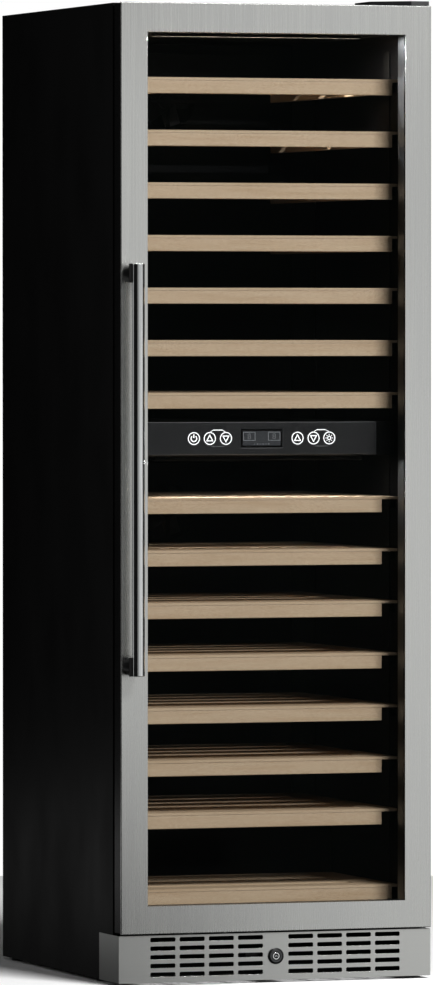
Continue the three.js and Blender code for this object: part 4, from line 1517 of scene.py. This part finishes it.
@dataclass
class Interior:
    """Liner, divider, runners, lamps, ducts, evaporators and zone fans, in millimetres."""

    liner_edge: float = 0.7
    divider_edge: float = 2.0
    lamp_edge: float = 1.0
    duct_edge: float = 0.6

    def build(self) -> None:
        """Builds and dresses the pieces inside the two zones."""
        Piece("liner_shell", "cabinet", LINER_PLASTIC, "liner_plastic", ("inner_liner",)).place(
            to_mesh("liner_shell", softened("inner_liner", self.liner_edge))
        )
        Piece("divider_block", "cabinet", LINER_PLASTIC, "liner_plastic", ("zone_divider",)).place(
            to_mesh("divider_block", softened("zone_divider", self.divider_edge, 3))
        )
        for side in ("left", "right"):
            dress(f"runner_rack_{side}", RACK_PAINT)
        for zone in ("upper", "lower"):
            lamp, duct = f"lamp_cover_{zone}", f"duct_tray_{zone}"
            Piece(
                lamp, "cabinet", LINER_PLASTIC, "lamp_diffuser", (f"lamp_{zone}",), LAMP,
                lambda face: face.normal.z < -0.99,
            ).place(to_mesh(lamp, softened(f"lamp_{zone}", self.lamp_edge)))
            Piece(duct, "cabinet", LINER_PLASTIC, "liner_plastic", (f"duct_cover_{zone}",)).place(
                to_mesh(duct, softened(f"duct_cover_{zone}", self.duct_edge))
            )
            dress(f"evaporator_{zone}", ALUMINIUM)
            dress(f"fan_{zone}", TRIM_PLASTIC)


@dataclass
class MachineBay:
    """Compressor, condenser and its fan, behind the rear louvres, in millimetres."""

    weld_edge: float = 1.0

    def build(self) -> None:
        """Builds and dresses the pieces of the bay."""
        Piece("compressor_can", "cabinet", CABINET_PAINT, "black_paint", ("compressor",)).place(
            to_mesh("compressor_can", softened("compressor", self.weld_edge))
        )
        # The condenser takes black paint, as wire-on-tube condensers often have. The black also stands in for
        # the shade seen through the vents.
        dress("condenser", RACK_PAINT)
        dress("fan_condenser", TRIM_PLASTIC)


@dataclass
class Hinges:
    """Plated hinge plates and the cover over the upper one, in millimetres."""

    plate_edge: float = 0.5
    cover_edge: float = 1.2

    def build(self) -> None:
        """Builds the hinges and the cover."""
        for end in ("top", "bottom"):
            node = f"hinge_{end}"
            Piece(f"plated_{node}", "cabinet", ZINC, "zinc_plate", (node,)).place(
                to_mesh(node, softened(node, self.plate_edge))
            )
        Piece("moulded_hinge_cover", "cabinet", TRIM_PLASTIC, "liner_plastic", ("hinge_cover",)).place(
            to_mesh("moulded_hinge_cover", softened("hinge_cover", self.cover_edge, 3))
        )


# ------------------------------------------------------------------ studio


@dataclass(frozen=True)
class SoftBox:
    """A rectangular lamp that looks at a point. Its places and sizes are in metres, its power in watts."""

    name: str
    place: tuple[float, float, float]
    target: tuple[float, float, float]
    width: float
    height: float
    power: float
    colour: str = "#FFFFFF"

    def light(self) -> None:
        """Adds the lamp."""
        data = bpy.data.lights.new(self.name, "AREA")
        data.shape = "RECTANGLE"
        data.size, data.size_y = self.width, self.height
        data.energy = self.power
        data.color = linear(self.colour)[:3]
        lamp = bpy.data.objects.new(self.name, data)
        lamp.location = self.place
        aim = Vector(self.target) - Vector(self.place)
        lamp.rotation_euler = aim.to_track_quat("-Z", "Y").to_euler()
        lamp.visible_camera = False
        bpy.context.scene.collection.objects.link(lamp)


@dataclass
class Studio:
    """Pale floor, soft light and the camera, in metres and degrees.

    Low panels beside the front give the steel its even sheen. The key light is high and far off, so that the
    shelves' ends and the window's inner side are lit from one side only.
    """

    camera_place: tuple[float, float, float] = (-4.91828, -14.10536, 1.183286)
    azimuth: float = -19.211
    tilt: float = -1.1585
    lens: float = 295.9
    backdrop: str = "#FFFFFF"
    room: float = 0.007
    floor_radius: float = 2.6
    zone_power: tuple[tuple[str, float], ...] = (("upper", 6.0), ("lower", 1.0))
    lamp_strip: float = 0.016
    lamp_clear: float = 0.004
    boxes: tuple[SoftBox, ...] = field(
        default_factory=lambda: (
            SoftBox("right_panel_top", (1.75, -3.0, 2.15), (1.75, 0.0, 2.15), 1.8, 1.9, 6.2),
            SoftBox("right_panel_low", (1.75, -3.0, 0.2), (1.75, 0.0, 0.2), 1.8, 2.0, 9.5),
            SoftBox("right_wing", (2.8, -2.2, 1.0), (-0.28, -0.35, 1.0), 1.7, 3.0, 10),
            SoftBox("upper_panel", (0.1, -3.0, 1.5), (0.1, 0.0, 1.5), 1.5, 0.8, 2.3),
            SoftBox("lower_panel", (0.1, -3.0, 0.6), (0.1, 0.0, 0.6), 1.5, 1.0, 3.1),
            SoftBox("left_panel", (-1.25, -3.0, 1.0), (-1.25, 0.0, 1.0), 1.2, 2.2, 2.4),
            SoftBox("key_light", (1.85, -7.1, 6.4), (0.0, -0.25, 0.85), 2.9, 1.8, 1350),
            SoftBox("rear_left", (-2.4, 1.3, 1.2), (-0.28, -0.35, 1.1), 1.8, 2.6, 6),
            SoftBox("overhead", (0.0, -0.2, 3.6), (0.0, 0.0, 1.0), 2.0, 1.6, 15),
            SoftBox("low_left", (-1.2, 1.6, 0.08), (-0.3, -0.27, 0.05), 0.8, 0.2, 0.3),
        )
    )

    def build(self) -> None:
        """Builds the studio."""
        bpy.context.scene.view_settings.view_transform = "Standard"
        self._world()
        self._floor()
        for box in self.boxes:
            box.light()
        self._zone_lights()
        self._camera()

    def _world(self) -> None:
        """Makes a white backdrop for the camera and a dim room for everything else."""
        world = bpy.data.worlds.new("studio")
        world.use_nodes = True
        tree = world.node_tree
        tree.nodes.clear()
        seen = add_node(tree, "ShaderNodeLightPath").outputs["Is Camera Ray"]
        room = add_node(tree, "ShaderNodeBackground", {0: linear(self.backdrop), 1: self.room})
        white = add_node(tree, "ShaderNodeBackground", {0: linear(self.backdrop), 1: 1.0})
        mix = add_node(tree, "ShaderNodeMixShader", {0: seen, 1: room.outputs[0], 2: white.outputs[0]})
        add_node(tree, "ShaderNodeOutputWorld", {0: mix.outputs[0]})
        bpy.context.scene.world = world

    def _floor(self) -> None:
        """Lays a plain pale floor that takes soft shadows."""
        shape = bmesh.new()
        bmesh.ops.create_circle(shape, cap_ends=True, segments=96, radius=self.floor_radius)
        floor = bpy.data.objects.new("studio_floor", to_mesh("studio_floor", shape))
        bpy.context.scene.collection.objects.link(floor)
        paint = bpy.data.materials.new("pale_floor")
        paint.use_nodes = True
        surface = paint.node_tree.nodes["Principled BSDF"]
        surface.inputs["Base Color"].default_value = linear("#F6F6F6")
        surface.inputs["Roughness"].default_value = 0.9
        floor.data.materials.append(paint)
        floor.visible_glossy = False
        floor.visible_diffuse = False
        floor.visible_shadow = False

    def _zone_lights(self) -> None:
        """Adds the light that each zone's lamp casts on the shelves."""
        for zone, power in self.zone_power:
            low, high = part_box(f"lamp_{zone}")
            x = ((low + high) / 2).x
            place = (x, low.y - self.lamp_clear, low.z - self.lamp_clear)
            target = (x, low.y - 0.03, low.z - 0.4)  # a little forwards, on to the boards
            SoftBox(f"zone_light_{zone}", place, target, high.x - low.x, self.lamp_strip, power).light()

    def _camera(self) -> None:
        """Places the camera."""
        data = bpy.data.cameras.new("camera")
        data.lens = self.lens
        data.clip_end = 200
        camera = bpy.data.objects.new("camera", data)
        camera.location = self.camera_place
        camera.rotation_euler = (math.radians(90 + self.tilt), 0, math.radians(self.azimuth))
        bpy.context.scene.collection.objects.link(camera)
        bpy.context.scene.camera = camera


def main() -> None:
    """Builds every sub-assembly in order."""
    logging.basicConfig(level=logging.INFO, format="%(name)s: %(message)s")
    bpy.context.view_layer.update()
    sheets = SlottedSheet()
    Studio().build()
    Cabinet().build(sheets)
    Kickplate().build(sheets)
    Lock().build()
    Interior().build()
    Shelves().build(sheets)
    ControlPanel().build()
    Door().build()
    MachineBay().build()
    Hinges().build()


if __name__ == "__main__":
    main()
